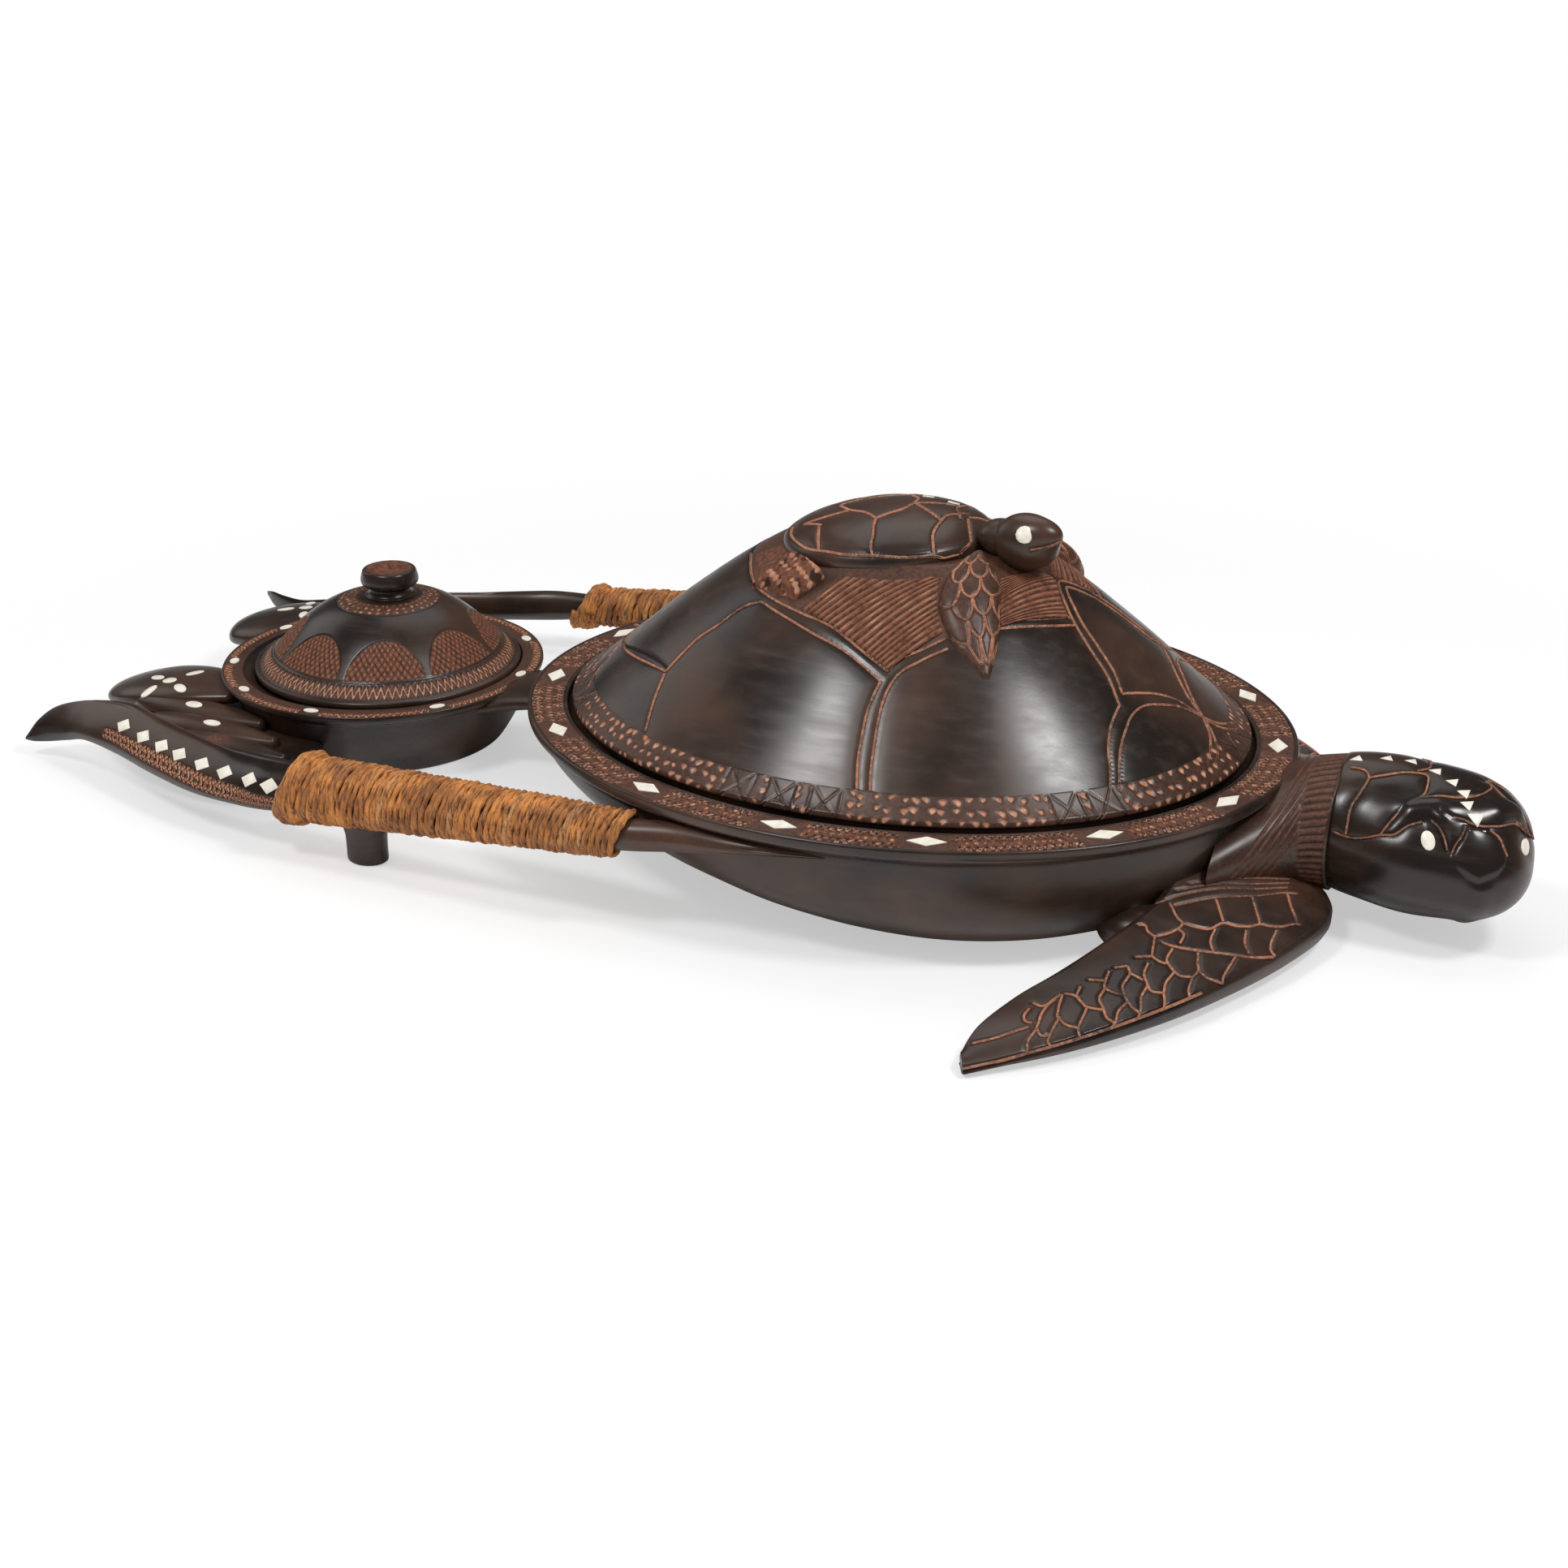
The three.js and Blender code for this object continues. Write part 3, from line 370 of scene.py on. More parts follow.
def added(name, sheet, material, body, replaced=None):
    """Makes the Blender piece of a sheet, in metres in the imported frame, and says what it rides on."""
    points = np.concatenate(sheet.points) * MM + BOWL_MIDDLE
    mesh = bpy.data.meshes.new(name)
    mesh.vertices.add(len(points))
    mesh.vertices.foreach_set("co", points.astype(np.float32).ravel())
    sizes = np.concatenate([np.full(len(f), f.shape[1]) for f in sheet.faces])
    corners = np.concatenate([f.ravel() for f in sheet.faces])
    starts = np.concatenate([[0], np.cumsum(sizes)[:-1]])
    mesh.loops.add(len(corners))
    mesh.loops.foreach_set("vertex_index", corners.astype(np.int32))
    mesh.polygons.add(len(sizes))
    mesh.polygons.foreach_set("loop_start", starts.astype(np.int32))
    mesh.update(calc_edges=True)
    mesh.validate()
    for key, value in sheet.marks.items():
        mesh.attributes.new(key, "FLOAT", "POINT").data.foreach_set("value", value.astype(np.float32))
    mesh.polygons.foreach_set("use_smooth", np.full(len(mesh.polygons), True))
    mesh.materials.append(material)
    piece = bpy.data.objects.new(name, mesh)
    bpy.context.scene.collection.objects.link(piece)
    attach(piece, body)
    if replaced:
        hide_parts(replaced)


def on_side(side, name, sheet, material, body, replaced=None, turn=None):
    """Adds a piece drawn on the right, or its mirror image on the left; %s in the names is the side."""
    if side == "left":
        drawn, sheet = sheet, Sheet()
        sheet.points = [p * [1, -1, 1] for p in drawn.points]
        if turn:
            sheet.points = [turn(p) for p in sheet.points]
        sheet.faces = [f[:, ::-1] for f in drawn.faces]
        sheet.marks, sheet.count = drawn.marks, drawn.count
    added(name % side, sheet, material, body, replaced % side if replaced else None)


def pair(name, sheet, material, body, replaced=None, turn=None):
    """Adds a piece drawn on the right and its mirror image on the left."""
    for side in SIDES:
        on_side(side, name, sheet, material, body, replaced, turn)


# Materials
def node(tree, kind, **settings):
    """A shader node; a setting is one of its own properties, or the value of the input of that name."""
    made = tree.nodes.new("ShaderNode" + kind)
    for key, value in settings.items():
        if key in made.inputs:
            made.inputs[key].default_value = value
        else:
            setattr(made, key, value)
    return made


def new_material(name):
    material = bpy.data.materials.new(name)
    material.use_nodes = True
    tree = material.node_tree
    tree.nodes.clear()
    shader = node(tree, "BsdfPrincipled")
    output = node(tree, "OutputMaterial")
    tree.links.new(shader.outputs[0], output.inputs[0])
    return material, tree, shader


def wire(tree, source, target):
    """Joins a node's first output, or a given output, to an input socket."""
    tree.links.new(source.outputs[0] if hasattr(source, "outputs") else source, target)


def feed(tree, value, target):
    """Gives an input socket a number, a colour of three numbers, or another node's output."""
    if isinstance(value, (int, float)):
        target.default_value = value
    elif isinstance(value, tuple):
        target.default_value = (*value, 1.0)
    else:
        wire(tree, value, target)


def mark(tree, name):
    return node(tree, "Attribute", attribute_name=name).outputs["Fac"]


def ranged(tree, value, low, high, to_low=0.0, to_high=1.0, smooth=False):
    made = node(tree, "MapRange", interpolation_type="SMOOTHSTEP" if smooth else "LINEAR")
    for socket, number in zip(made.inputs[1:5], (low, high, to_low, to_high)):
        socket.default_value = number
    wire(tree, value, made.inputs[0])
    return made.outputs[0]


MIX_SOCKETS = {"RGBA": (0, 6, 7, 2), "FLOAT": (0, 2, 3, 0)}  # inputs: factor and both sides; then the output


def mixed(tree, factor, first, second, kind="RGBA"):
    """Mix of two colours, or of two numbers; each side is a value or an output."""
    made = node(tree, "Mix", data_type=kind)
    *inputs, result = MIX_SOCKETS[kind]
    for k, value in zip(inputs, (factor, first, second)):
        feed(tree, value, made.inputs[k])
    return made.outputs[result]


def maths(tree, operation, *values):
    made = node(tree, "Math", operation=operation)
    for socket, value in zip(made.inputs, values):
        feed(tree, value, socket)
    return made.outputs[0]


def noise(tree, where, scale, detail=3.0, roughness=0.55, stretch=None):
    made = node(tree, "TexNoise", Scale=scale, Detail=detail, Roughness=roughness)
    if stretch:
        mapping = node(tree, "Mapping", Scale=stretch)
        wire(tree, where, mapping.inputs[0])
        where = mapping.outputs[0]
    wire(tree, where, made.inputs["Vector"])
    return made.outputs["Fac"] if "Fac" in made.outputs else made.outputs[0]


def finished(tree, shader, tone, roughness, height, distance, strength):
    """Joins a material's colour, its roughness and its bump to the shader."""
    bump = node(tree, "Bump", Strength=strength, Distance=distance)
    wire(tree, height, bump.inputs["Height"])
    wire(tree, bump, shader.inputs["Normal"])
    wire(tree, tone, shader.inputs["Base Color"])
    feed(tree, roughness, shader.inputs["Roughness"])


EBONY, EBONY_BROWN, EBONY_WORN = (0.0150, 0.0095, 0.0075), (0.062, 0.030, 0.018), (0.075, 0.050, 0.038)
REDDISH, REDDISH_DARK = (0.205, 0.078, 0.042), (0.075, 0.030, 0.019)
PIGMENT, PIGMENT_PALE, PIGMENT_THIN = (0.40, 0.145, 0.072), (0.60, 0.36, 0.235), (0.085, 0.036, 0.024)
# The first is painted shade for the depths of cuts and grooves; the second is the bare groove's own dark
PAINTED_SHADE_TONE, GROOVE_DARK = (0.014, 0.008, 0.006), (0.012, 0.007, 0.005)
SHELL_CREAM, SHELL_GREY = (0.86, 0.82, 0.73), (0.72, 0.66, 0.54)
FIBRE_GOLD, FIBRE_RED, FIBRE_PALE = (0.68, 0.265, 0.060), (0.34, 0.125, 0.034), (0.60, 0.36, 0.165)
# The first darkens some turns of the cord; the second is painted shade in the crevices between the fibres
FIBRE_DARK, FIBRE_GAP_SHADE = (0.115, 0.044, 0.020), (0.075, 0.028, 0.012)


def carved_wood():
    """Near-black polished wood with brown clouds and worn grain.

    `chip` reddens cut bands. A dark mark lays painted shade in the depths of cuts and grooves, and random
    dark patches on the small turtle's hind blocks; a pale mark shows pale pigment and cut wood, and painted
    highlights on the crests of ridges.
    """
    material, tree, shader = new_material("carved_wood")
    place = node(tree, "TexCoord").outputs["Object"]
    cloud = noise(tree, place, 13, detail=4)
    grain = noise(tree, place, 60, detail=5, stretch=(0.35, 1.6, 3.0))
    speck = noise(tree, place, 420, detail=2)
    chip, pit, fleck = [mark(tree, name) for name in ("chip", "pit", "fleck")]
    tone = mixed(tree, ranged(tree, cloud, 0.40, 0.66), EBONY, EBONY_BROWN)
    tone = mixed(tree, ranged(tree, grain, 0.52, 0.78, 0, 0.35), tone, EBONY_WORN)
    red = mixed(tree, ranged(tree, speck, 0.3, 0.7), REDDISH, REDDISH_DARK)
    tone = mixed(tree, chip, tone, red)
    # Painted shade in the depths of cuts and grooves, and random dark patches on the small turtle's hind
    # blocks
    tone = mixed(tree, ranged(tree, pit, 0.25, 0.8, 0, 0.85), tone, PAINTED_SHADE_TONE)
    # Pale pigment and cut wood, and painted highlights on the crests of ridges
    pale = mixed(tree, ranged(tree, speck, 0.35, 0.7), PIGMENT, PIGMENT_PALE)
    tone = mixed(tree, ranged(tree, fleck, 0.25, 0.75), tone, pale)
    cut = maths(tree, "MAXIMUM", chip, fleck)
    polish = ranged(tree, cloud, 0.3, 0.7, 0.23, 0.34)
    rough = maths(tree, "ADD", polish, ranged(tree, grain, 0.4, 0.8, 0, 0.08))
    rough = maths(tree, "ADD", rough, maths(tree, "MULTIPLY", cut, 0.3))
    wire(tree, ranged(tree, cut, 0.0, 1.0, 0.5, 0.15), shader.inputs["Specular IOR Level"])
    height = maths(tree, "ADD", maths(tree, "MULTIPLY", grain, 0.6), maths(tree, "MULTIPLY", cloud, 0.8))
    finished(tree, shader, tone, rough, height, 0.0003, 0.25)
    return material


def groove_pigment():
    """Orange-brown pigment rubbed into a groove, worn away in places; `dark` leaves the bare groove."""
    material, tree, shader = new_material("groove_pigment")
    place = node(tree, "TexCoord").outputs["Object"]
    patch = noise(tree, place, 34, detail=4, roughness=0.65)
    speck = noise(tree, place, 500, detail=2)
    tone = mixed(tree, ranged(tree, patch, 0.34, 0.62), PIGMENT_THIN, PIGMENT)
    tone = mixed(tree, ranged(tree, speck, 0.45, 0.75, 0, 0.6), tone, PIGMENT_PALE)
    tone = mixed(tree, mark(tree, "dark"), tone, GROOVE_DARK)
    finished(tree, shader, tone, 0.7, speck, 0.0003, 0.6)
    return material


def cut_shell():
    """Cream-white cut shell with faint cloudy layers."""
    material, tree, shader = new_material("cut_shell")
    place = node(tree, "TexCoord").outputs["Object"]
    layer = noise(tree, place, 220, detail=3, stretch=(1.0, 0.4, 1.0))
    tone = mixed(tree, ranged(tree, layer, 0.35, 0.7), SHELL_CREAM, SHELL_GREY)
    finished(tree, shader, tone, 0.28, layer, 0.0002, 0.4)
    return material


def plant_cord():
    """Dry twisted fibre: fine strands that run round the handle, each turn of the cord of its own tone."""
    material, tree, shader = new_material("plant_cord")
    place = node(tree, "TexCoord").outputs["Object"]
    turn = mark(tree, "turn")
    fibre = noise(tree, place, 800, detail=3, roughness=0.7, stretch=(1.0, 0.16, 0.16))
    patch = noise(tree, place, 55, detail=4, roughness=0.6)
    tone = mixed(tree, ranged(tree, patch, 0.36, 0.62), FIBRE_GOLD, FIBRE_RED)
    tone = mixed(tree, ranged(tree, turn, 0.80, 1.0, 0, 0.55), tone, FIBRE_PALE)
    tone = mixed(tree, ranged(tree, turn, 0.25, 0.0, 0, 0.6), tone, FIBRE_DARK)
    # Painted shade in the crevices between the fibres
    tone = mixed(tree, ranged(tree, fibre, 0.46, 0.66, 0, 0.9), tone, FIBRE_GAP_SHADE)
    finished(tree, shader, tone, 0.75, fibre, 0.0012, 1.0)
    return material


WOOD, PIGMENT_LINE, SHELL, CORD = carved_wood(), groove_pigment(), cut_shell(), plant_cord()


# Carving tools
def sections(centres, tangents, normals, profile):
    """Grid of a profile of (across, out) points, set square to a path on a surface at each of its points."""
    side = unit(np.cross(tangents, normals))
    return centres[:, None] + side[:, None] * profile[None, :, :1] + normals[:, None] * profile[None, :, 1:]


def surface_normals(at, flat, step=0.2):
    """Normals of a surface of two parameters, from small steps in each."""
    dx = at(flat + [step, 0]) - at(flat - [step, 0])
    dy = at(flat + [0, step]) - at(flat - [0, step])
    return unit(np.cross(dx, dy))


GROOVE_LIP, GROOVE_DEEP = 0.12, -1.0


def groove_lines(at, lines, width, sunk, dark=0.0, step=1.6, sheet=None):
    """Sheet of pigment lines: a shallow V of the given width along each smoothed line of a surface."""
    sheet = sheet or Sheet()
    w = width / 2
    profile = np.array([[-w, GROOVE_LIP], [0, -sunk], [w, GROOVE_LIP], [w, GROOVE_DEEP], [-w, GROOVE_DEEP]])
    for line in lines:
        flat = path_through(line, step)
        centres = at(flat)
        tangents = unit(np.gradient(centres, axis=0))
        sheet.solid(sections(centres, tangents, surface_normals(at, flat), profile), dark=dark)
    return sheet


def near_lines(points, at, lines, step=2.0):
    """Distance of each point to the nearest sample of the smoothed lines on a surface."""
    samples = np.concatenate([at(path_through(line, step)) for line in lines])
    flat = points.reshape(-1, 3)
    best = np.full(len(flat), 1e9)
    for first in range(0, len(samples), 100):
        part = samples[first:first + 100]
        gap = (flat**2).sum(1)[:, None] + (part**2).sum(1) - 2 * flat @ part.T
        best = np.minimum(best, gap.min(1))
    return np.sqrt(np.maximum(best, 0)).reshape(points.shape[:-1])


def triangle_pits(along, across):
    """Chip-carved row: triangles that point up and down by turns, along in pitches, across -0.5 to 0.5."""
    up = np.abs(np.mod(along, 1.0) - 0.5) * 2
    down = 1 - up
    rise = np.clip(across + 0.5, 0, 1)
    return np.clip(np.maximum(0.9 * (1 - rise) - up, 0.9 * rise - down) * 2.2, 0, 1)


def lozenge_pits(along, across, fill=0.85):
    """Row of four-sided pits, deepest in the middle of each pitch."""
    x = np.abs(np.mod(along, 1.0) - 0.5) * 2
    return np.clip(fill - x - np.abs(across) * 2 * fill, 0, 1) / fill


def flecks(along, across, seed):
    """Uneven drop-shaped pits: one in each unit cell, moved and sized by its own repeatable values."""
    deepest = np.zeros(np.broadcast(along, across).shape)
    for i in (-1, 0, 1):
        for j in (-1, 0, 1):
            a, b = np.floor(along) + i, np.floor(across) + j
            x = along - a - 0.5 - 0.5 * (hashed(a, b, seed) - 0.5)
            y = across - b - 0.5 - 0.35 * (hashed(a, b, seed + 1) - 0.5)
            size = 0.20 + 0.13 * hashed(a, b, seed + 2)
            lean = 0.9 * (hashed(a, b, seed + 3) - 0.5)
            x = x - lean * y
            far = np.hypot(x / (1 - 0.5 * np.clip(y / size, -1, 1)), y * 0.8) / size
            deepest = np.maximum(deepest, np.clip(1.25 - far, 0, 1))
    return np.clip(deepest, 0, 1)


# Carved lines of the main lid, in plan: orange lines of the near side, repeated on the far side
LID_LINES = [
    [(-91, -18), (-75, -51), (-66, -62), (-51, -73), (-32, -82), (-10, -89), (13, -98), (29, -103)],
    [(-60, -72), (-45, -81), (-21, -92), (5, -100), (16, -104), (27, -108)],
    [(27, -108), (25, -120), (26, -130), (28, -141), (32, -152)],
    [(56, -83), (44, -94), (35, -103), (32, -112), (32, -122), (34, -133), (36, -142), (39, -151)],
    [(29, -103), (34, -96), (43, -89), (53, -79)],
    [(-60, -72), (-71, -72), (-83, -78), (-95, -82), (-103, -89), (-109, -95)],
    [(-109, -95), (-123, -85), (-143, -68), (-160, -48), (-172, -22), (-176, 0)],
    [(-109, -96), (-109, -101), (-109, -108), (-108, -116), (-106, -127)],
    [(-172, -22), (-174, -32), (-175, -45), (-175, -57), (-173, -72)],
    [(76, -61), (88, -50), (101, -36), (109, -25)],
    [(76, -57), (94, -38), (105, -23)],
    [(91, 0), (91, -1), (92, -4), (99, -14), (107, -23), (120, -32), (133, -39), (143, -49)],
    [(95, 0), (97, -4), (102, -10), (111, -19), (123, -26), (135, -33), (142, -41)],
    [(142, -41), (149, -30), (158, -16), (167, -6), (178, 0)],
    [(157, -91), (151, -71), (150, -60), (150, -48), (153, -36), (160, -23), (168, -10), (178, 0)],
    [(143, -49), (143, -64), (146, -77), (150, -85), (153, -94)],
    [(178, 0), (184, -8), (188, -20), (190, -34)],
    [(180, 0), (187, -8), (192, -20), (193, -28)],
]
LID_DARK = [
    [(-109, -93), (-127, -77), (-145, -61), (-163, -42), (-176, -18), (-180, 0)],
    [(-94, 0), (-92, -14), (-83, -38), (-74, -54)],
]
SCUTE = np.array([
    (-91, 0), (-88, -22), (-75, -51), (-66, -62), (-51, -73), (-32, -82), (-10, -89), (13, -98), (29, -103),
    (34, -96), (43, -89), (53, -79), (76, -57), (94, -38), (105, -23), (98, -12), (91, 0)], float)
SCOOP = np.array([
    (-68, -56), (-60, -62), (-49, -73), (-38, -78), (-28, -75), (-21, -69), (-14, -65), (-14, -60),
    (-30, -50), (-50, -46)], float)
RED_PLATE = np.array([(-86, -25), (-66, -29), (-49, -45), (-67, -55), (-74, -50)], float)


def both_sides(lines):
    return lines + [[(x, -y) for x, y in line] for line in lines]


def within(xy, corners):
    """Whether plan points lie inside a closed outline: an odd count of its sides crossed to the right."""
    inside = np.zeros(xy.shape[:-1], bool)
    x, y = xy[..., 0], xy[..., 1]
    for (x0, y0), (x1, y1) in zip(corners, np.roll(corners, -1, axis=0)):
        if y0 != y1:
            inside ^= ((y0 > y) != (y1 > y)) & (x < (x1 - x0) * (y - y0) / (y1 - y0) + x0)
    return inside


def inside_by(xy, corners):
    """How far plan points lie inside a closed outline, 0 outside it."""
    gap = np.full(xy.shape[:-1], 1e9)
    for a, b in zip(corners, np.roll(corners, -1, axis=0)):
        share = np.clip((xy - a) @ (b - a) / ((b - a) @ (b - a)), 0, 1)
        gap = np.minimum(gap, np.linalg.norm(xy - a - share[..., None] * (b - a), axis=-1))
    return gap * within(xy, corners)


def disc_plan(n):
    """Unit disc as a square grid bent to the circle, so that no pole forms."""
    edge = np.linspace(-1, 1, n + 1)
    u, v = np.meshgrid(edge, edge, indexing="ij")
    return np.stack([u * np.sqrt(1 - v * v / 2), v * np.sqrt(1 - u * u / 2)], -1)


def border_of(grid):
    return np.concatenate([grid[:-1, 0], grid[-1, :-1], grid[:0:-1, -1], grid[0, :0:-1]])


def slab(sheet, top, bottom, **marks):
    """A closed plate between two grids: each row of the top joined to the same row of the bottom."""
    values = {k: np.concatenate([np.broadcast_to(v, top.shape[:2])] * 2, axis=1) for k, v in marks.items()}
    sheet.grid(np.concatenate([top, bottom[:, ::-1]], axis=1), wrap=True, close=(True, True), **values)


def round_the_oval(a, b, n):
    """Angles round an oval, the length along it to each of them, and its whole length."""
    t = angles(n)
    fine = np.linspace(0, TAU, 7201)
    length = np.concatenate([[0], np.cumsum(np.hypot(np.diff(a * np.cos(fine)), np.diff(b * np.sin(fine))))])
    return t, np.interp(t, fine, length), length[-1]


def gap_from(degrees, t, length, whole):
    """Length along a closed line from each place to the nearest of some angles, either way round."""
    spots = np.interp(np.mod(np.radians(degrees), TAU), t, length)
    gap = np.mod(length[:, None] - spots + whole / 2, whole) - whole / 2
    return np.abs(gap).min(1)


def outward(grid, centre):
    """Normals of a grid of rings, turned so that, summed up, they point away from a centre."""
    normal = normals_of(grid, True)
    return normal * np.sign((normal * (grid - centre)).sum())


def upward(grid):
    """Normals of an open grid, turned so that, summed up, they point upward."""
    normal = normals_of(grid, False)
    return normal * np.sign(normal[..., 2].sum())


def signed_power(x, power):
    return np.sign(x) * np.abs(x) ** power


RIM_INLAY_DEGREES = np.array([-168, -141, -113, -90, -69, -43, -18, 10, 34, 60, 86, 112, 139, 165])
SMALL_INLAY_DEGREES = np.array([-153, -121, -84, -37, 7, 47, 86, 126, 166])


REBATE_OUT, REBATE_IN, REBATE_Z = 8.0, 35.0, 66.0
WELL_IN, WELL_FLOOR, WELL_HIGH = 37.0, 11.0, 59.0


def main_bowl():
    """Hull and well: ovals up the outside, across below the rim, and down the inside to the floor."""
    n = 420
    a, b = RIM_A - RIM_OVERHANG, RIM_B - RIM_OVERHANG
    rings = [hull_level(a, b, s, s * HULL_TOP, n) for s in np.linspace(0, 1, 40) ** 1.5]
    rings += [oval(RIM_A - inset, RIM_B - inset, REBATE_Z, n) for inset in (REBATE_OUT, REBATE_IN)]
    a, b = RIM_A - WELL_IN, RIM_B - WELL_IN
    rings += [hull_level(a, b, s, WELL_FLOOR + WELL_HIGH * s, n) for s in np.linspace(0.93, 0, 26)]
    grid = np.stack(rings)
    low = smoothstep(2, 20, grid[..., 2]) * smoothstep(REBATE_Z, REBATE_Z - 6, grid[..., 2])
    grid -= normals_of(grid, True) * (0.25 * waves(grid, 70, 3) * low)[..., None]
    added("main_bowl_hull", tube(grid), WOOD, "root", "main_bowl")


# Section of the rim either side of its flat top: how far in from the outline, and height
RIM_OUTSIDE = [(8, 63.9), (7, 64.1), (3.4, 66.8), (1.0, 68.7), (0.3, 69.5), (0, 70.6), (0, 73.5),
               (0.35, 74.5), (1.1, 74.95)]
RIM_INSIDE = [(23.4, 74.9), (23.85, 74.5), (24, 73.8), (24, 70.6), (24.4, 70.1), (31, 70), (32, 69.6),
              (32, 63.9)]
RIM_ROWS, RIM_ROWS_FROM, RIM_ROWS_WIDE, RIM_PITCH = 3, 3.4, 17.4, 4.4
RIM_FRAMES, RIM_BORDERS = (12.2, 14.0), (2.5, 21.8)  # lines round each inlay, and along the rim's edges


def main_rim():
    """Flat rim of the main bowl: a closed section carried round the oval, chip-carved between the inlays."""
    t, length, whole = round_the_oval(RIM_A - RIM_WIDTH / 2, RIM_B - RIM_WIDTH / 2, 1560)
    gap = gap_from(RIM_INLAY_DEGREES, t, length, whole)
    top = [(o, RIM_Z) for o in np.arange(1.8, 22.9, 0.64)]
    o, z = np.array(RIM_OUTSIDE + top + RIM_INSIDE).T[:, :, None]
    grid = np.stack([(RIM_A - o) * np.cos(t), (RIM_B - o) * np.sin(t), z + 0 * t], -1)
    flat = z > RIM_Z - 0.06
    face = flat * smoothstep(2.6, 3.4, o) * smoothstep(21.6, 20.8, o)
    carved = face * smoothstep(14.6, 15.2, gap)
    row = (o - RIM_ROWS_FROM) / RIM_ROWS_WIDE * RIM_ROWS
    across = np.mod(row, 1) - 0.5
    along = length / RIM_PITCH + 0.1 * np.sin(length / 9.0)
    pits = np.where(np.floor(row) == 1, lozenge_pits(along + 0.5, across), triangle_pits(along, across))
    cut = pits * carved
    frames, borders = lines_at(gap, RIM_FRAMES, 0.55) * face, lines_at(o, RIM_BORDERS, 0.6) * flat
    grid[..., 2] -= 0.85 * cut + 0.5 * frames + 0.4 * borders + 0.15 * carved
    bright = smoothstep(0.1, 0.35, cut) * smoothstep(0.95, 0.6, cut) * (0.55 + 0.45 * waves(grid, 9, 5))
    sheet = Sheet()
    # Painted shade in the chips' depths and in the grooves along the rim's edges
    sheet.grid(grid, wrap=True, loop=True, chip=np.clip(0.4 * face + 0.3 * carved + 0.4 * frames, 0, 1),
               pit=np.clip(smoothstep(0.5, 1.0, cut) + borders, 0, 1), fleck=np.clip(bright, 0, 0.75))
    added("main_bowl_rim", sheet, WOOD, "root", "main_bowl")


LID_THICK = 12.0


def main_dome():
    """Top of the main lid: a square grid bent to the oval, so that no pole forms, with soft V grooves."""
    xy = disc_plan(276) * [LID_A * BAND_SHARE, LID_B * BAND_SHARE]
    grid = on_dome(xy)
    up = surface_normals(on_dome, xy)
    gap = near_lines(grid, on_dome, both_sides(LID_LINES + LID_DARK))
    depth = 0.6 * stroke(gap, 2.0) + 0.3 * bell(gap, 5.0)
    grid = grid + up * (0.12 * waves(grid, 55, 8) - depth)[..., None]
    near = np.stack([xy[..., 0], -np.abs(xy[..., 1])], -1)
    scoop = np.clip(inside_by(near, SCOOP) / 6, 0, 1)
    grid[..., 2] -= 2.2 * scoop
    plate = np.clip(inside_by(near, RED_PLATE) / 2, 0, 1)
    sheet = Sheet()
    sheet.grid(grid, facing=(0, 0, 1), chip=np.maximum(0.4 * within(near, SCUTE) * (1 - scoop), 0.8 * plate))
    border = border_of(grid)
    inner = [border, border * [0.985, 0.985, 1] - [0, 0, 4]]
    inner += [on_dome(border[:, :2] * k) - [0, 0, LID_THICK] for k in (0.93, 0.7, 0.45, 0.2)]
    sheet.grid(np.stack(inner), wrap=True, close=(False, True), facing=(0, 0, -1))
    added("main_lid_dome", sheet, WOOD, "main_lid", "main_lid")


BAND_SQUARE = 8.6
BAND_SQUARE_DEGREES = [-100, -92.5, -85, -46, -39, 39, 46, 85, 92.5, 100, 150, 157, -150, -157, 0, 7]


# Section of the lid's edge below its top: how far out from the outline, and height
LID_LIP = [(0.15, 78.6), (0.35, 77.8), (0.4, 77.0), (0.3, 76.2), (0.0, 75.5), (-0.9, 75.0), (-2.2, 74.6),
           (-2.8, 73.8), (-2.9, 71.5), (-3.4, 70.3), (-11, 70.3), (-12, 71.2), (-12.5, 76)]
LID_UNDER_SHARE, LID_UNDER_Z = 0.9, 82.0
DROP_PITCH, DROP_ROWS = 7.2, 3.0


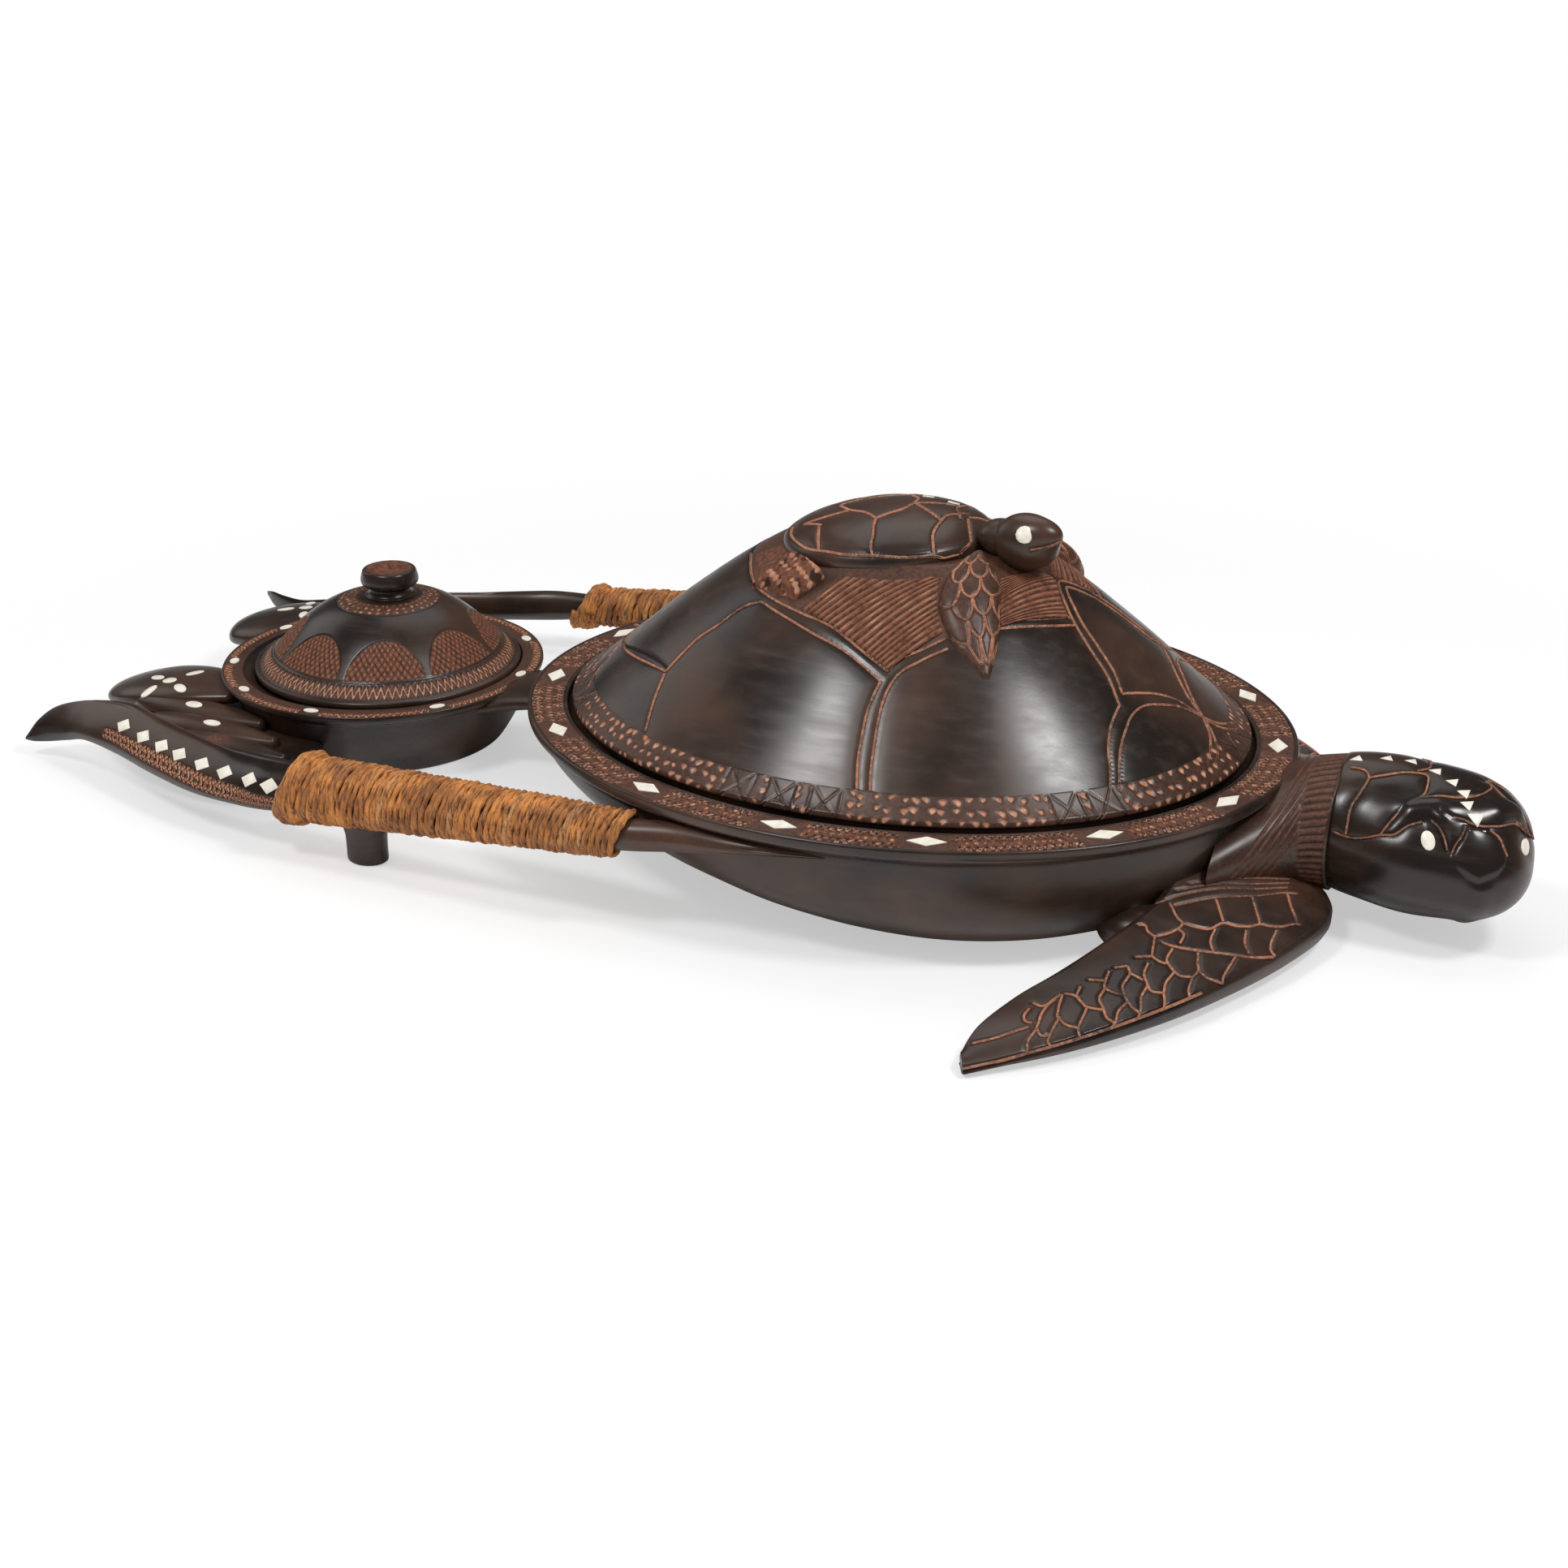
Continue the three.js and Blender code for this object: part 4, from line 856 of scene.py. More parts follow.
def main_band():
    """Lower band of the main lid: a closed section with drop-like pits and crossed squares."""
    t, length, whole = round_the_oval(LID_A * 0.97, LID_B * 0.97, 1480)
    share = np.linspace(BAND_SHARE - 0.003, 0.999, 20)
    outer = np.stack([share * LID_A, share * LID_B, LID_BASE + LID_EDGE + dome_rise(share)], -1)
    under = (LID_A * LID_UNDER_SHARE, LID_B * LID_UNDER_SHARE, LID_UNDER_Z)
    rows = np.array([*outer, *[(LID_A + o, LID_B + o, z) for o, z in LID_LIP], under])
    a, b, z = rows.T[:, :, None]
    grid = np.stack([a * np.cos(t), b * np.sin(t), z + 0 * t], -1)
    down = np.concatenate([[0], np.cumsum(np.hypot(*np.diff(rows[:, 1:], axis=0).T))])
    w = np.minimum(down / down[len(outer) + 4], 2.0)[:, None]
    face = smoothstep(0.04, 0.08, w) * smoothstep(1.0, 0.96, w)
    x, y = gap_from(BAND_SQUARE_DEGREES, t, length, whole) / BAND_SQUARE, np.clip(w, 0, 1) * 2 - 1
    square = smoothstep(1.06, 1.0, x) * face
    to_cross = np.abs(np.abs(y) - x)
    bordered = stroke(np.abs(x - 1), 0.10) * face
    pale = flecks(length[None] / DROP_PITCH, np.clip(w, 0, 1) * DROP_ROWS - 0.02, 4) * face * (1 - square)
    cross = np.maximum(square * stroke(to_cross, 0.12), bordered)
    # Painted shade in the crossing grooves and in the grooves at the band's edges
    dark = np.clip(cross + lines_at(w, (0.015, 1.0), 0.03), 0, 1)
    # Painted highlight on the lips beside the crossing grooves
    cross_lip_highlight = stroke(np.abs(to_cross - 0.17), 0.07) * square
    grid -= normals_out(grid) * (0.6 * pale + 0.6 * dark)[..., None]
    sheet = Sheet()
    sheet.grid(grid, wrap=True, loop=True, fleck=np.clip(0.9 * pale + 0.6 * cross_lip_highlight, 0, 1),
               chip=face * (0.3 - 0.15 * square), pit=dark)
    added("main_lid_band", sheet, WOOD, "main_lid", "main_lid")


def normals_out(grid):
    """Grid normals turned so that, summed up, they point away from the vertical axis through its middle."""
    normal = normals_of(grid, True)
    away = grid - grid.mean((0, 1))
    away[..., 2] = 0
    return normal * np.sign((normal[:20] * away[:20]).sum())


# The first is the strength of the painted highlight on each stroke's crest
HATCH_CREST_HIGHLIGHT, HATCH_LIFT, HATCH_THICK = 0.5, 0.12, 1.2


def hatched(name, lower, upper, strokes, ridge):
    """Ruled patch on the dome between two lines on both sides of the lid, with one rounded ridge a stroke."""
    sheet = Sheet()
    across, along = np.linspace(0, 1, strokes * 8 + 1), np.linspace(0, 1, 36)
    crest = np.abs(np.sin(np.pi * strokes * across[:, None])) ** 0.8 + 0 * along
    border = smoothstep(0, 0.03, along) * smoothstep(1, 0.97, along)
    lift = (HATCH_LIFT + ridge * crest) * border + 0.5 * (border - 1)
    for side in (1, -1):
        ends = [spline(np.linspace(0, 1, len(line)), line, across) for line in (lower, upper)]
        low, high = [end * [1, side] for end in ends]
        plan = low[:, None] + (high - low)[:, None] * along[None, :, None]
        up = surface_normals(on_dome, plan)
        base = on_dome(plan)
        uneven = 0.75 + 0.25 * waves(base, 14, 9)
        # Painted shade in the valleys between the strokes, and a painted highlight on their crests
        slab(sheet, base + up * lift[..., None], base - up * HATCH_THICK, chip=1.0,
             pit=1 - smoothstep(0.1, 0.55, crest), fleck=HATCH_CREST_HIGHLIGHT * smoothstep(0.6, 0.95, crest) * uneven)
    added(name, sheet, WOOD, "main_lid")


CUB_LINES = [
    [(-66, -14), (-61, -28), (-52, -40), (-41, -49), (-30, -53), (-15, -56), (-1, -55), (15, -51), (27, -44),
     (39, -33), (43, -24), (44, -17), (41, -11), (35, 2)],
    [(-44, 2), (-31, -12), (-20, -17), (-10, -25)], [(-10, -25), (-5, -17), (0, -10), (2, 3)],
    [(2, 3), (11, -4), (19, -10), (25, -14)], [(25, -14), (25, -6), (29, 2), (32, 9)],
    [(-10, -25), (-8, -34), (-5, -42), (-3, -50), (0, -55)],
    [(25, -14), (25, -22), (26, -30), (29, -37), (31, -41)],
    [(-31, -12), (-44, -18), (-56, -21)], [(-56, -21), (-42, -29)], [(-43, -29), (-38, -42), (-34, -51)],
]
CUB_MIDDLE_Y = 3.0
CUB_FAR_SHARE = 0.93
CUB_TABLETS = [((0, 24), (6, 24)), ((15, 20), (24, 22))]
CUB_TABLET = [(3.4, 1.1), (-3.4, 1.5), (-3.4, -1.5), (3.4, -1.1)]
# Lip of the small shell: share of its ovals, and level of its height
CUB_TOP_SHARE = 0.975
CUB_EDGE = [(0.99, 0.17), (0.998, 0.08), (1.0, 0.0), (0.997, -0.07), (0.98, -0.12), (0.955, -0.16),
            (0.93, -0.3), (0.9, -0.9)]


def cub_lines():
    """Carved lines of the small shell: the near side as drawn, and a slightly narrower far side."""
    middle = CUB_MIDDLE_Y
    return CUB_LINES + [[(x, middle + CUB_FAR_SHARE * (middle - y)) for x, y in line] for line in CUB_LINES]


def cub_ring(share, level, across):
    """Points of the small shell at a share of its ovals and a level of its height, in unit directions."""
    x = CUB_X + CUB_APEX * (1 - share) + CUB_A * share * across[..., 0]
    z = CUB_BASE + CUB_TILT * (x - CUB_X) + CUB_RISE * level
    return np.stack([x, CUB_B * share * across[..., 1], z], -1)


def cub_shell():
    """Shell of the small turtle: a bent square grid over it, and a rounded lip with an undercut."""
    plan = disc_plan(150)
    share = np.maximum(np.hypot(plan[..., 0], plan[..., 1]), 1e-6)
    grid = cub_ring(CUB_TOP_SHARE * share, cub_level(CUB_TOP_SHARE * share), plan / share[..., None])
    gap = near_lines(grid, cub_shell_at, cub_lines())
    depth = 0.7 * stroke(gap, 2.0) + 0.35 * bell(gap, 5) * (share < 0.97)
    grid = grid - upward(grid) * (depth + 0.1 * waves(grid, 24, 6))[..., None]
    sheet = Sheet()
    sheet.grid(grid, facing=(0, 0, 1))
    lip = [border_of(grid)] + [cub_ring(k, level, border_of(plan)) for k, level in CUB_EDGE]
    sheet.grid(np.stack(lip), wrap=True, close=(False, True), facing=(0, 0, -1))
    added("lid_turtle_shell_carved", sheet, WOOD, "main_lid", "lid_turtle_shell")
    pigment = groove_lines(cub_shell_at, cub_lines(), width=1.5, sunk=0.5)
    added("lid_turtle_shell_lines", pigment, PIGMENT_LINE, "main_lid")
    white = Sheet()
    for ends in CUB_TABLETS:
        inlay(white, cub_shell_at, np.mean(ends, axis=0), ends[1], CUB_TABLET)
    added("lid_turtle_shell_inlays", white, SHELL, "main_lid")


def blob_at(centre, lobes, sharpness):
    """Surface of blended lobes as a function of (azimuth, elevation) in degrees."""
    def at(flat):
        flat = np.radians(np.asarray(flat, float))
        d = direction_of(flat[..., 0], flat[..., 1])
        return centre + d * blob_radius(d, lobes, sharpness)[..., None]
    return at


def blob_grid(centre, lobes, sharpness, rows, columns, back):
    """Blob as rings round the X axis, cut off flat at a distance behind its centre."""
    turn, ring = np.meshgrid(np.linspace(0.004, np.pi - 0.02, rows), angles(columns), indexing="ij")
    d = np.stack([np.cos(turn), np.sin(turn) * np.cos(ring), np.sin(turn) * np.sin(ring)], -1)
    flat = np.where(d[..., 0] < 0, back / np.maximum(-d[..., 0], 1e-6), 1e6)
    return centre + d * np.minimum(blob_radius(d, lobes, sharpness), flat)[..., None]


# Places on the head: azimuth and elevation in degrees, seen from its centre
HEAD_LINES = [
    [(-170, 35), (-167, 39), (-159, 39), (-152, 32), (-148, 23), (-145, 17), (-143, 11)],
    [(-159, 39), (-159, 47), (-160, 57), (-155, 66), (-134, 64), (-122, 54), (-127, 42), (-127, 34),
     (-128, 18)],
    [(-148, 10), (-142, 10), (-135, 13), (-128, 18), (-121, 21), (-116, 29), (-108, 35)],
    [(-163, 63), (-173, 69), (-198, 69), (-223, 58), (-218, 55)],
    [(-121, 51), (-106, 58), (-84, 60), (-53, 62), (-24, 64), (4, 66), (11, 70)],
    [(-85, 43), (-75, 42), (-64, 38), (-46, 36), (-22, 33), (-14, 25)],
    [(-102, 38), (-94, 34), (-88, 27), (-85, 20)], [(-85, 43), (-95, 46)],
    [(-73, 37), (-76, 30), (-80, 24), (-82, 18)], [(-53, 34), (-47, 28), (-46, 21), (-45, 16)],
]
HEAD_FACES = -65
BEAK_SHIELD = np.array([
    (-84, 17), (-78, 9), (-72, 5), (-65, 1), (-60, 4), (-54, 6), (-47, 11), (-43, 17), (-46, 21), (-47, 28),
    (-53, 34), (-63, 38), (-73, 37), (-76, 30), (-80, 24)], float)
BROW = [(-122, 41), (-113, 46), (-103, 48), (-95, 46)]
# Middle of each eye, and a place that it is long toward
EYES = {"right": ((-99, 24), (-103, 30)), "left": ((-22, 17), (-13, 21))}
EYE_OVAL = 5.4, 3.5
CROWN_TRIANGLES = [(-178, 38), (-182, 49), (-186, 60), (-163, 75), (-95, 75), (-70, 64), (-69, 53)]
CROWN_LARGE = [(-63, 42), (-64, 30)]
CROWN_SIZE, CROWN_LARGE_SIZE = 3.6, 4.5
HEAD_SHARPNESS = 10
SHIELD_OUT, BROW_OUT, CHIN_OUT, SOCKET_DEEP = 1.0, 2.2, 1.3, 1.5


def other_side(line):
    """A line of the head, mirrored about the way it faces."""
    return [(2 * HEAD_FACES - azimuth, elevation) for azimuth, elevation in line]


def head():
    """Head turned to the turtle's right: blended lobes with plates, brows, a beak shield and a keel."""
    at = blob_at(HEAD_CENTRE, HEAD_LOBES, HEAD_SHARPNESS)
    lines = HEAD_LINES + [other_side(line) for line in HEAD_LINES[:3]]
    grid = blob_grid(HEAD_CENTRE, HEAD_LOBES, HEAD_SHARPNESS, 200, 270, HEAD_CENTRE[0] - NECK_X)
    gap = near_lines(grid, at, lines)
    x, y, z = np.moveaxis(grid - HEAD_CENTRE, -1, 0)
    facing = np.stack([np.degrees(np.arctan2(y, x)), np.degrees(np.arctan2(z, np.hypot(x, y)))], -1)
    depth = 0.6 * stroke(gap, 1.8) + 0.7 * bell(gap, 4.5)
    depth -= SHIELD_OUT * smoothstep(-1, 4, inside_by(facing, BEAK_SHIELD))
    depth -= BROW_OUT * bell(near_lines(grid, at, [BROW, other_side(BROW)]), 7.0)
    depth -= CHIN_OUT * bell(facing[..., 0] - HEAD_FACES - 2, 7) * smoothstep(4, -4, facing[..., 1])
    for spot, _ in EYES.values():
        depth += SOCKET_DEEP * bell(np.linalg.norm(grid - at(spot), axis=-1), 9)
    keep = smoothstep(NECK_X + 1, NECK_X + 5, grid[..., 0])
    grid = grid - outward(grid, HEAD_CENTRE) * (depth * keep)[..., None]
    added("head_carved", tube(grid), WOOD, "root", "head")
    pigment = groove_lines(at, lines, width=1.0, sunk=0.45, step=3.0, dark=0.2)
    added("head_lines", pigment, PIGMENT_LINE, "root")
    crown = Sheet()
    for spots, size in ((CROWN_TRIANGLES, CROWN_SIZE), (CROWN_LARGE, CROWN_LARGE_SIZE)):
        back = -size * 2.6 / 3.6
        for spot in spots:
            inlay(crown, at, spot, (HEAD_FACES, 5), [(size, 0), (back, size), (back, -size)])
    added("head_crown_inlays", crown, SHELL, "root")
    for side, (spot, toward) in EYES.items():
        eye = Sheet()
        inlay(eye, at, spot, toward, round_outline(*EYE_OVAL), proud=-0.4, deep=3.0)
        added("head_eye_%s_shell" % side, eye, SHELL, "root", "head_eye_%s" % side)


BEVEL_DEEP, BEVEL_SHARE = 0.15, 0.93


def inlay(sheet, at, spot, toward, outline, proud=0.3, deep=1.2, way=1):
    """A tablet let into a surface: its outline is drawn from `spot`, long toward another place on it."""
    spot = np.array(spot, float)
    centre = at(spot)
    out = surface_normals(at, spot[None])[0] * way
    ahead = at(np.array(toward, float)) - centre
    ahead = unit(ahead - out * (ahead @ out))
    side = np.cross(out, ahead)
    ring = np.array([centre + ahead * x + side * y for x, y in outline])
    middle = ring.mean(0)
    shrunk = middle + (ring - middle) * BEVEL_SHARE
    sheet.solid(np.stack([ring - out * deep, ring + out * (proud - BEVEL_DEEP), shrunk + out * proud]))


def round_outline(long, wide, n=28):
    t = angles(n)
    return np.stack([long * np.cos(t), wide * np.sin(t)], -1)


CUB_MOUTH = [(-62, -4), (-45, 0), (-28, 5), (-16, 8), (-5, 6), (8, 5)]
CUB_SHARPNESS, CUB_HEAD_BACK = 8, 40


def cub_head():
    """Head of the small turtle: blended lobes with the line of its mouth."""
    at = blob_at(CUB_HEAD_CENTRE, CUB_HEAD_LOBES, CUB_SHARPNESS)
    grid = blob_grid(CUB_HEAD_CENTRE, CUB_HEAD_LOBES, CUB_SHARPNESS, 110, 150, CUB_HEAD_BACK)
    gap = near_lines(grid, at, [CUB_MOUTH], 1.0)
    grid = grid - outward(grid, CUB_HEAD_CENTRE) * (0.55 * stroke(gap, 1.5) + 0.25 * bell(gap, 3))[..., None]
    added("lid_turtle_head_carved", tube(grid), WOOD, "main_lid", "lid_turtle_head")
    pigment = groove_lines(at, [CUB_MOUTH], width=1.0, sunk=0.3, step=3.0)
    added("lid_turtle_head_lines", pigment, PIGMENT_LINE, "main_lid")


CUB_FLIPPER_EDGES = {  # rear and front edge in plan, from the shell to the tip, and heights over the dome
    "right": ([(50, -33), (43, -51), (44, -66), (52, -76), (63, -83), (78, -88)],
              [(56, -27), (62, -31), (70, -40), (75, -54), (79, -67), (81, -86)], [7, 8, 8, 8, 6, 3]),
    "left": ([(36, -34), (42, -46), (51, -57), (60, -67), (70, -73), (80, -75)],
             [(46, -28), (58, -34), (69, -40), (79, -46), (86, -55), (86, -66)], [3, 5, 9, 12, 12, 7]),
}
CUB_FLIPPER_LONG, CUB_FLIPPER_WIDE = 70.0, 30.0


def cub_flipper_at(flat, side):
    """Top of a front flipper of the small turtle over millimetres along it and across it."""
    rear, front, heights = CUB_FLIPPER_EDGES[side]
    along = np.ravel(flat[..., 0]) / CUB_FLIPPER_LONG
    across = np.ravel(flat[..., 1])[:, None] / CUB_FLIPPER_WIDE
    k = np.linspace(0, 1, len(rear))
    a, b = spline(k, rear, along), spline(k, front, along)
    base = on_dome(a + (b - a) * across)
    crown = (1 - np.abs(2 * np.clip(across[:, 0], 0, 1) - 1) ** 2.6) ** 0.5
    base[:, 2] += spline(k, heights, along) * crown
    return base.reshape(flat.shape[:-1] + (3,))


SCALES_ALONG, SCALES_ACROSS, SCALE = 6, 3, 10


def cub_scales():
    """Rows of scales on a small front flipper: open arcs, every second row set half a scale across."""
    lines = []
    for i in range(SCALES_ALONG):
        for k in range(SCALES_ACROSS):
            x, y = 6 + SCALE * i, SCALE * k + SCALE / 2 * (i % 2)
            far = min(y + SCALE, CUB_FLIPPER_WIDE)
            lines.append([(x, y), (x + 7, y + 1.5), (x + SCALE, y + 5), (x + 7, min(y + 8.5, 29)), (x, far)])
    return lines


def cub_flippers():
    """Front flippers of the small turtle: leaves between two edges on the dome, with a net of scales."""
    s, w = np.meshgrid(np.linspace(0, 1, 110), np.linspace(0, 1, 60), indexing="ij")
    flat = np.stack([s * CUB_FLIPPER_LONG, w * CUB_FLIPPER_WIDE], -1)
    name = "lid_turtle_front_flipper_%s"
    for side in SIDES:
        def at(flat, side=side):
            return cub_flipper_at(flat, side)
        top = at(flat)
        gap = near_lines(top, at, cub_scales(), 1.0)
        under = on_dome(top[..., :2]) - [0, 0, 3]
        top[..., 2] -= 0.8 * stroke(gap, 1.6)
        sheet = Sheet()
        slab(sheet, top, under, chip=0.35)
        on_side(side, name + "_carved", sheet, WOOD, "main_lid", name)
        pigment = groove_lines(at, cub_scales(), width=1.3, sunk=0.5, step=1.5)
        on_side(side, name + "_lines", pigment, PIGMENT_LINE, "main_lid")


CUB_BLOCK = np.array([[(-25, -63), (-50, -45)], [(-38, -75), (-71, -60)]], float)
CUB_BLOCK_HIGH = 5.2


def cub_hind_blocks():
    """Hind flippers of the small turtle: low rough blocks on the dome, reddish where they are cut."""
    s, w = np.meshgrid(np.linspace(0, 1, 70), np.linspace(0, 1, 70), indexing="ij")
    near, far = [row[0] + (row[1] - row[0]) * w[..., None] for row in CUB_BLOCK]
    plan = near + (far - near) * s[..., None]
    top = on_dome(plan)
    rough = waves(top, 7, 11) * 0.5 + np.abs(np.sin(s * 16 + 2 * w)) * 0.7
    edge = np.minimum(np.minimum(s, 1 - s), np.minimum(w, 1 - w))
    top[..., 2] += CUB_BLOCK_HIGH * smoothstep(0, 0.12, edge) ** 0.5 + rough * smoothstep(0.02, 0.2, edge)
    sheet = Sheet()
    # Random dark and pale patches over the rough blocks
    slab(sheet, top, on_dome(plan) - [0, 0, 3], chip=1.0, pit=smoothstep(0.0, 0.9, -waves(top, 9, 4)) * 0.8,
         fleck=0.6 * smoothstep(-0.2, 0.8, waves(top, 6, 14)))
    name = "lid_turtle_hind_flipper_%s"
    pair(name + "_carved", sheet, WOOD, "main_lid", name)


def turned_piece(profile, n, cx):
    """Rings of (radius, height) about an upright axis at cx, or with a centre for each ring."""
    t = angles(n)
    r, z = np.array(profile, float).T[:, :, None]
    return np.stack([np.reshape(cx, (-1, 1)) + r * np.cos(t), r * np.sin(t), z + 0 * t], -1)


# Section of the small bowl's edge, and of its rebate: how far out from its outline, and height over its rim
SMALL_EDGE = [(-3, -6.4), (-1, -4.8), (-0.3, -3.6), (0, -2.6), (-0.1, -0.8), (-0.5, -0.1)]
SMALL_REBATE = [(-13.8, -0.3), (-14, -2.8), (-20, -3)]
SMALL_FLOOR, SMALL_WALL, SMALL_HULL_IN, SMALL_HULL_DOWN = 9.0, 21.0, 5.0, 7.0
SMALL_PITCH, SMALL_BAND = 4.3, 4.3  # pitch of the chips round the rim, and their middle in from its outline


def small_hull(r, low, high, shares):
    """Radius and height of the small bowl's hull or hollow at shares of the height between two levels."""
    return [(r * hull_share(s, TAIL_FOOT, TAIL_FULLNESS), low + (high - low) * s) for s in shares]


def small_bowl():
    """Small round bowl: hull, flat rim with a zigzag of chips, rebate and hollow."""
    n = 720
    t = angles(n)
    outer = small_hull(TAIL_R - SMALL_HULL_IN, 1, TAIL_RIM_Z - SMALL_HULL_DOWN, np.linspace(0, 1, 34) ** 1.4)
    edge, rebate = [[(TAIL_R + o, TAIL_RIM_Z + z) for o, z in rows] for rows in (SMALL_EDGE, SMALL_REBATE)]
    face = [(TAIL_R - 0.9 - 12.4 * k, TAIL_RIM_Z) for k in np.linspace(0, 1, 22)]
    hollow = small_hull(TAIL_R - SMALL_WALL, SMALL_FLOOR, TAIL_RIM_Z - 4, np.linspace(0.95, 0, 18))
    profile = np.array(outer + edge + face + rebate + hollow)
    grid = turned_piece(profile, n, TAIL_X)
    o = TAIL_R - profile[:, :1]
    row = np.arange(len(profile))[:, None] - len(outer) - len(edge)
    on_face = (row >= 0) * (row < len(face))
    gap = gap_from(SMALL_INLAY_DEGREES, t, TAIL_R * t, TAIL_R * TAU)
    band = on_face * smoothstep(1.2, 1.8, o) * smoothstep(7.4, 6.8, o) * smoothstep(6.5, 7.5, gap)
    along = TAIL_R * t / SMALL_PITCH
    pits = triangle_pits(along, (o - SMALL_BAND) / 5.4) * band
    line = lines_at(o, (1.1, 7.7), 0.5) * on_face
    grid[..., 2] -= 0.7 * pits + 0.35 * line
    bright = 0.8 * band * zigzag(along, (o - SMALL_BAND) / 6.2, 0.16)
    # Painted shade in the chips' depths and in the two grooves round the rim's face
    sheet = tube(grid, chip=np.clip(0.7 * band + 0.3 * on_face, 0, 1), pit=np.clip(0.8 * (pits + line), 0, 1),
                 fleck=bright)
    added("small_bowl_carved", sheet, WOOD, "root", "small_bowl")


def tail_dome(share):
    """Height of the small lid's top at a share of its radius."""
    return TAIL_LID_BASE + TAIL_LID_EDGE + TAIL_LID_RISE * (1 - share**TAIL_LID_SHOULDER) ** TAIL_LID_FLARE


# Small lid, in shares of its radius: section below its top with height over its edge, and carved rings
SMALL_LIP = [(1.003, -1.0), (1.004, -2.4), (0.998, -4), (0.985, -4.8), (0.93, -4.9), (0.92, -3.5), (0.88, 0),
             (0.7, 12), (0.45, 25), (0.2, 32)]
SMALL_RINGS = 0.235, 0.39, 0.855, 0.968
CROWN_DROPS, BAND_CHIPS, BAND_MIDDLE = 34, 104, 0.915
SCALLOPS, SCALLOP_START, SCALLOP_HALF, SCALLOP_FOOT, SCALLOP_HIGH = 8, 0.81, 0.46, 0.845, 0.235
HATCH_TURNS, HATCH_ACROSS = 52, 0.66


def zigzag(along, across, wide):
    """Line that runs to and fro across a band once a pitch; both in pitches, across from -0.5 to 0.5."""
    course = (np.abs(np.mod(along, 1.0) - 0.5) * 2 - 0.5) * 0.8
    return np.clip(1.5 - np.abs(across - course) / wide, 0, 1)


def small_lid():
    """Small lid: a turned dome with scallops of crossed hatching, a zigzag band and a plain lip."""
    n = 800
    shares = np.concatenate([[0.12], np.linspace(0.16, 0.30, 8), np.linspace(0.31, 1.0, 100)])
    profile = [(TAIL_LID_R * k, z) for k, z in zip(shares, tail_dome(shares))]
    profile += [(TAIL_LID_R * k, TAIL_LID_BASE + TAIL_LID_EDGE + dz) for k, dz in SMALL_LIP]
    profile = np.array(profile)
    grid = turned_piece(profile, n, KNOB_X + (TAIL_LID_X - KNOB_X) * profile[:, 0] / TAIL_LID_R)
    normal = normals_of(grid, True)
    normal *= np.sign(normal[20, :, 2].sum())
    share = np.concatenate([shares, np.full(len(SMALL_LIP), 2.0)])[:, None]
    around = angles(n) / TAU
    crown = smoothstep(0.235, 0.25, share) * smoothstep(0.385, 0.37, share)
    drops = flecks(around * CROWN_DROPS, (share - 0.24) / 0.05, 3) * crown
    band = smoothstep(0.868, 0.875, share) * smoothstep(0.962, 0.955, share)
    chips = triangle_pits(around * BAND_CHIPS, (share - BAND_MIDDLE) / 0.075) * band
    place = np.mod(around * SCALLOPS + SCALLOP_START, 1.0) - 0.5
    height = SCALLOP_FOOT - SCALLOP_HIGH * np.sqrt(np.clip(1 - (place / SCALLOP_HALF) ** 2, 0, 1))
    inside = smoothstep(-0.006, 0.006, share - height) * smoothstep(0.85, 0.842, share)
    inside *= np.abs(place) < 0.45
    outline = bell(share - height, 0.008) * (np.abs(place) < 0.455)
    u, v = around * TAU * HATCH_TURNS, share * TAIL_LID_R * HATCH_ACROSS
    crossing = np.minimum(np.abs(np.sin(u + v)), np.abs(np.sin(u - v)))
    hatch = smoothstep(0.32, 0.08, crossing) * inside
    rings = sum(bell(share - k, 0.0045) for k in SMALL_RINGS)
    grid = grid - normal * (0.55 * drops + 0.6 * chips + 0.5 * (hatch + outline + rings))[..., None]
    bright = 0.75 * band * zigzag(around * BAND_CHIPS, (share - BAND_MIDDLE) / 0.085, 0.16) + 0.7 * drops
    # Painted highlight on the raised diamonds between the hatching's grooves
    bright += 0.42 * inside * smoothstep(0.4, 0.9, crossing)
    # Painted shade in the hatching's grooves, the chips' depths and the carved rings
    sheet = tube(grid, chip=np.clip(0.55 * crown + 0.6 * band + inside, 0, 1),
                 pit=np.clip(0.9 * hatch + 0.8 * (chips + rings), 0, 1), fleck=np.clip(bright, 0, 1))
    added("small_lid_carved", sheet, WOOD, "small_lid", "small_lid")


# Section of the knob: how far out from its greatest radius, and height
KNOB_SECTION = [(-3, 0), (-4.2, 1.5), (-5.2, 3.5), (-5.3, 5), (-4, 6.3), (-1.5, 7.3), (-0.3, 8.8), (0, 10.6),
                (-0.4, 13), (-1.6, 16.6), (-3.4, 17.4), (-5.5, 17.3), (-7, 16.3), (-8.5, 14.8), (-11, 13.6)]


def knob():
    """Turned knob with a waist, a rounded ring and a reddish dished top."""
    profile = [(0.3, 0)] + [(KNOB_R + o, z) for o, z in KNOB_SECTION] + [(2, 13)]
    k = np.linspace(0, len(profile) - 1, 90)
    smooth = spline(np.arange(len(profile)), profile, k)
    grid = turned_piece(smooth, 160, KNOB_X) + [0, 0, tail_dome(0.2) + 0.3]
    sheet = tube(grid, chip=smoothstep(10.4, 12.0, k)[:, None] * 0.95)
    added("small_lid_knob_turned", sheet, WOOD, "small_lid", "small_lid_knob")


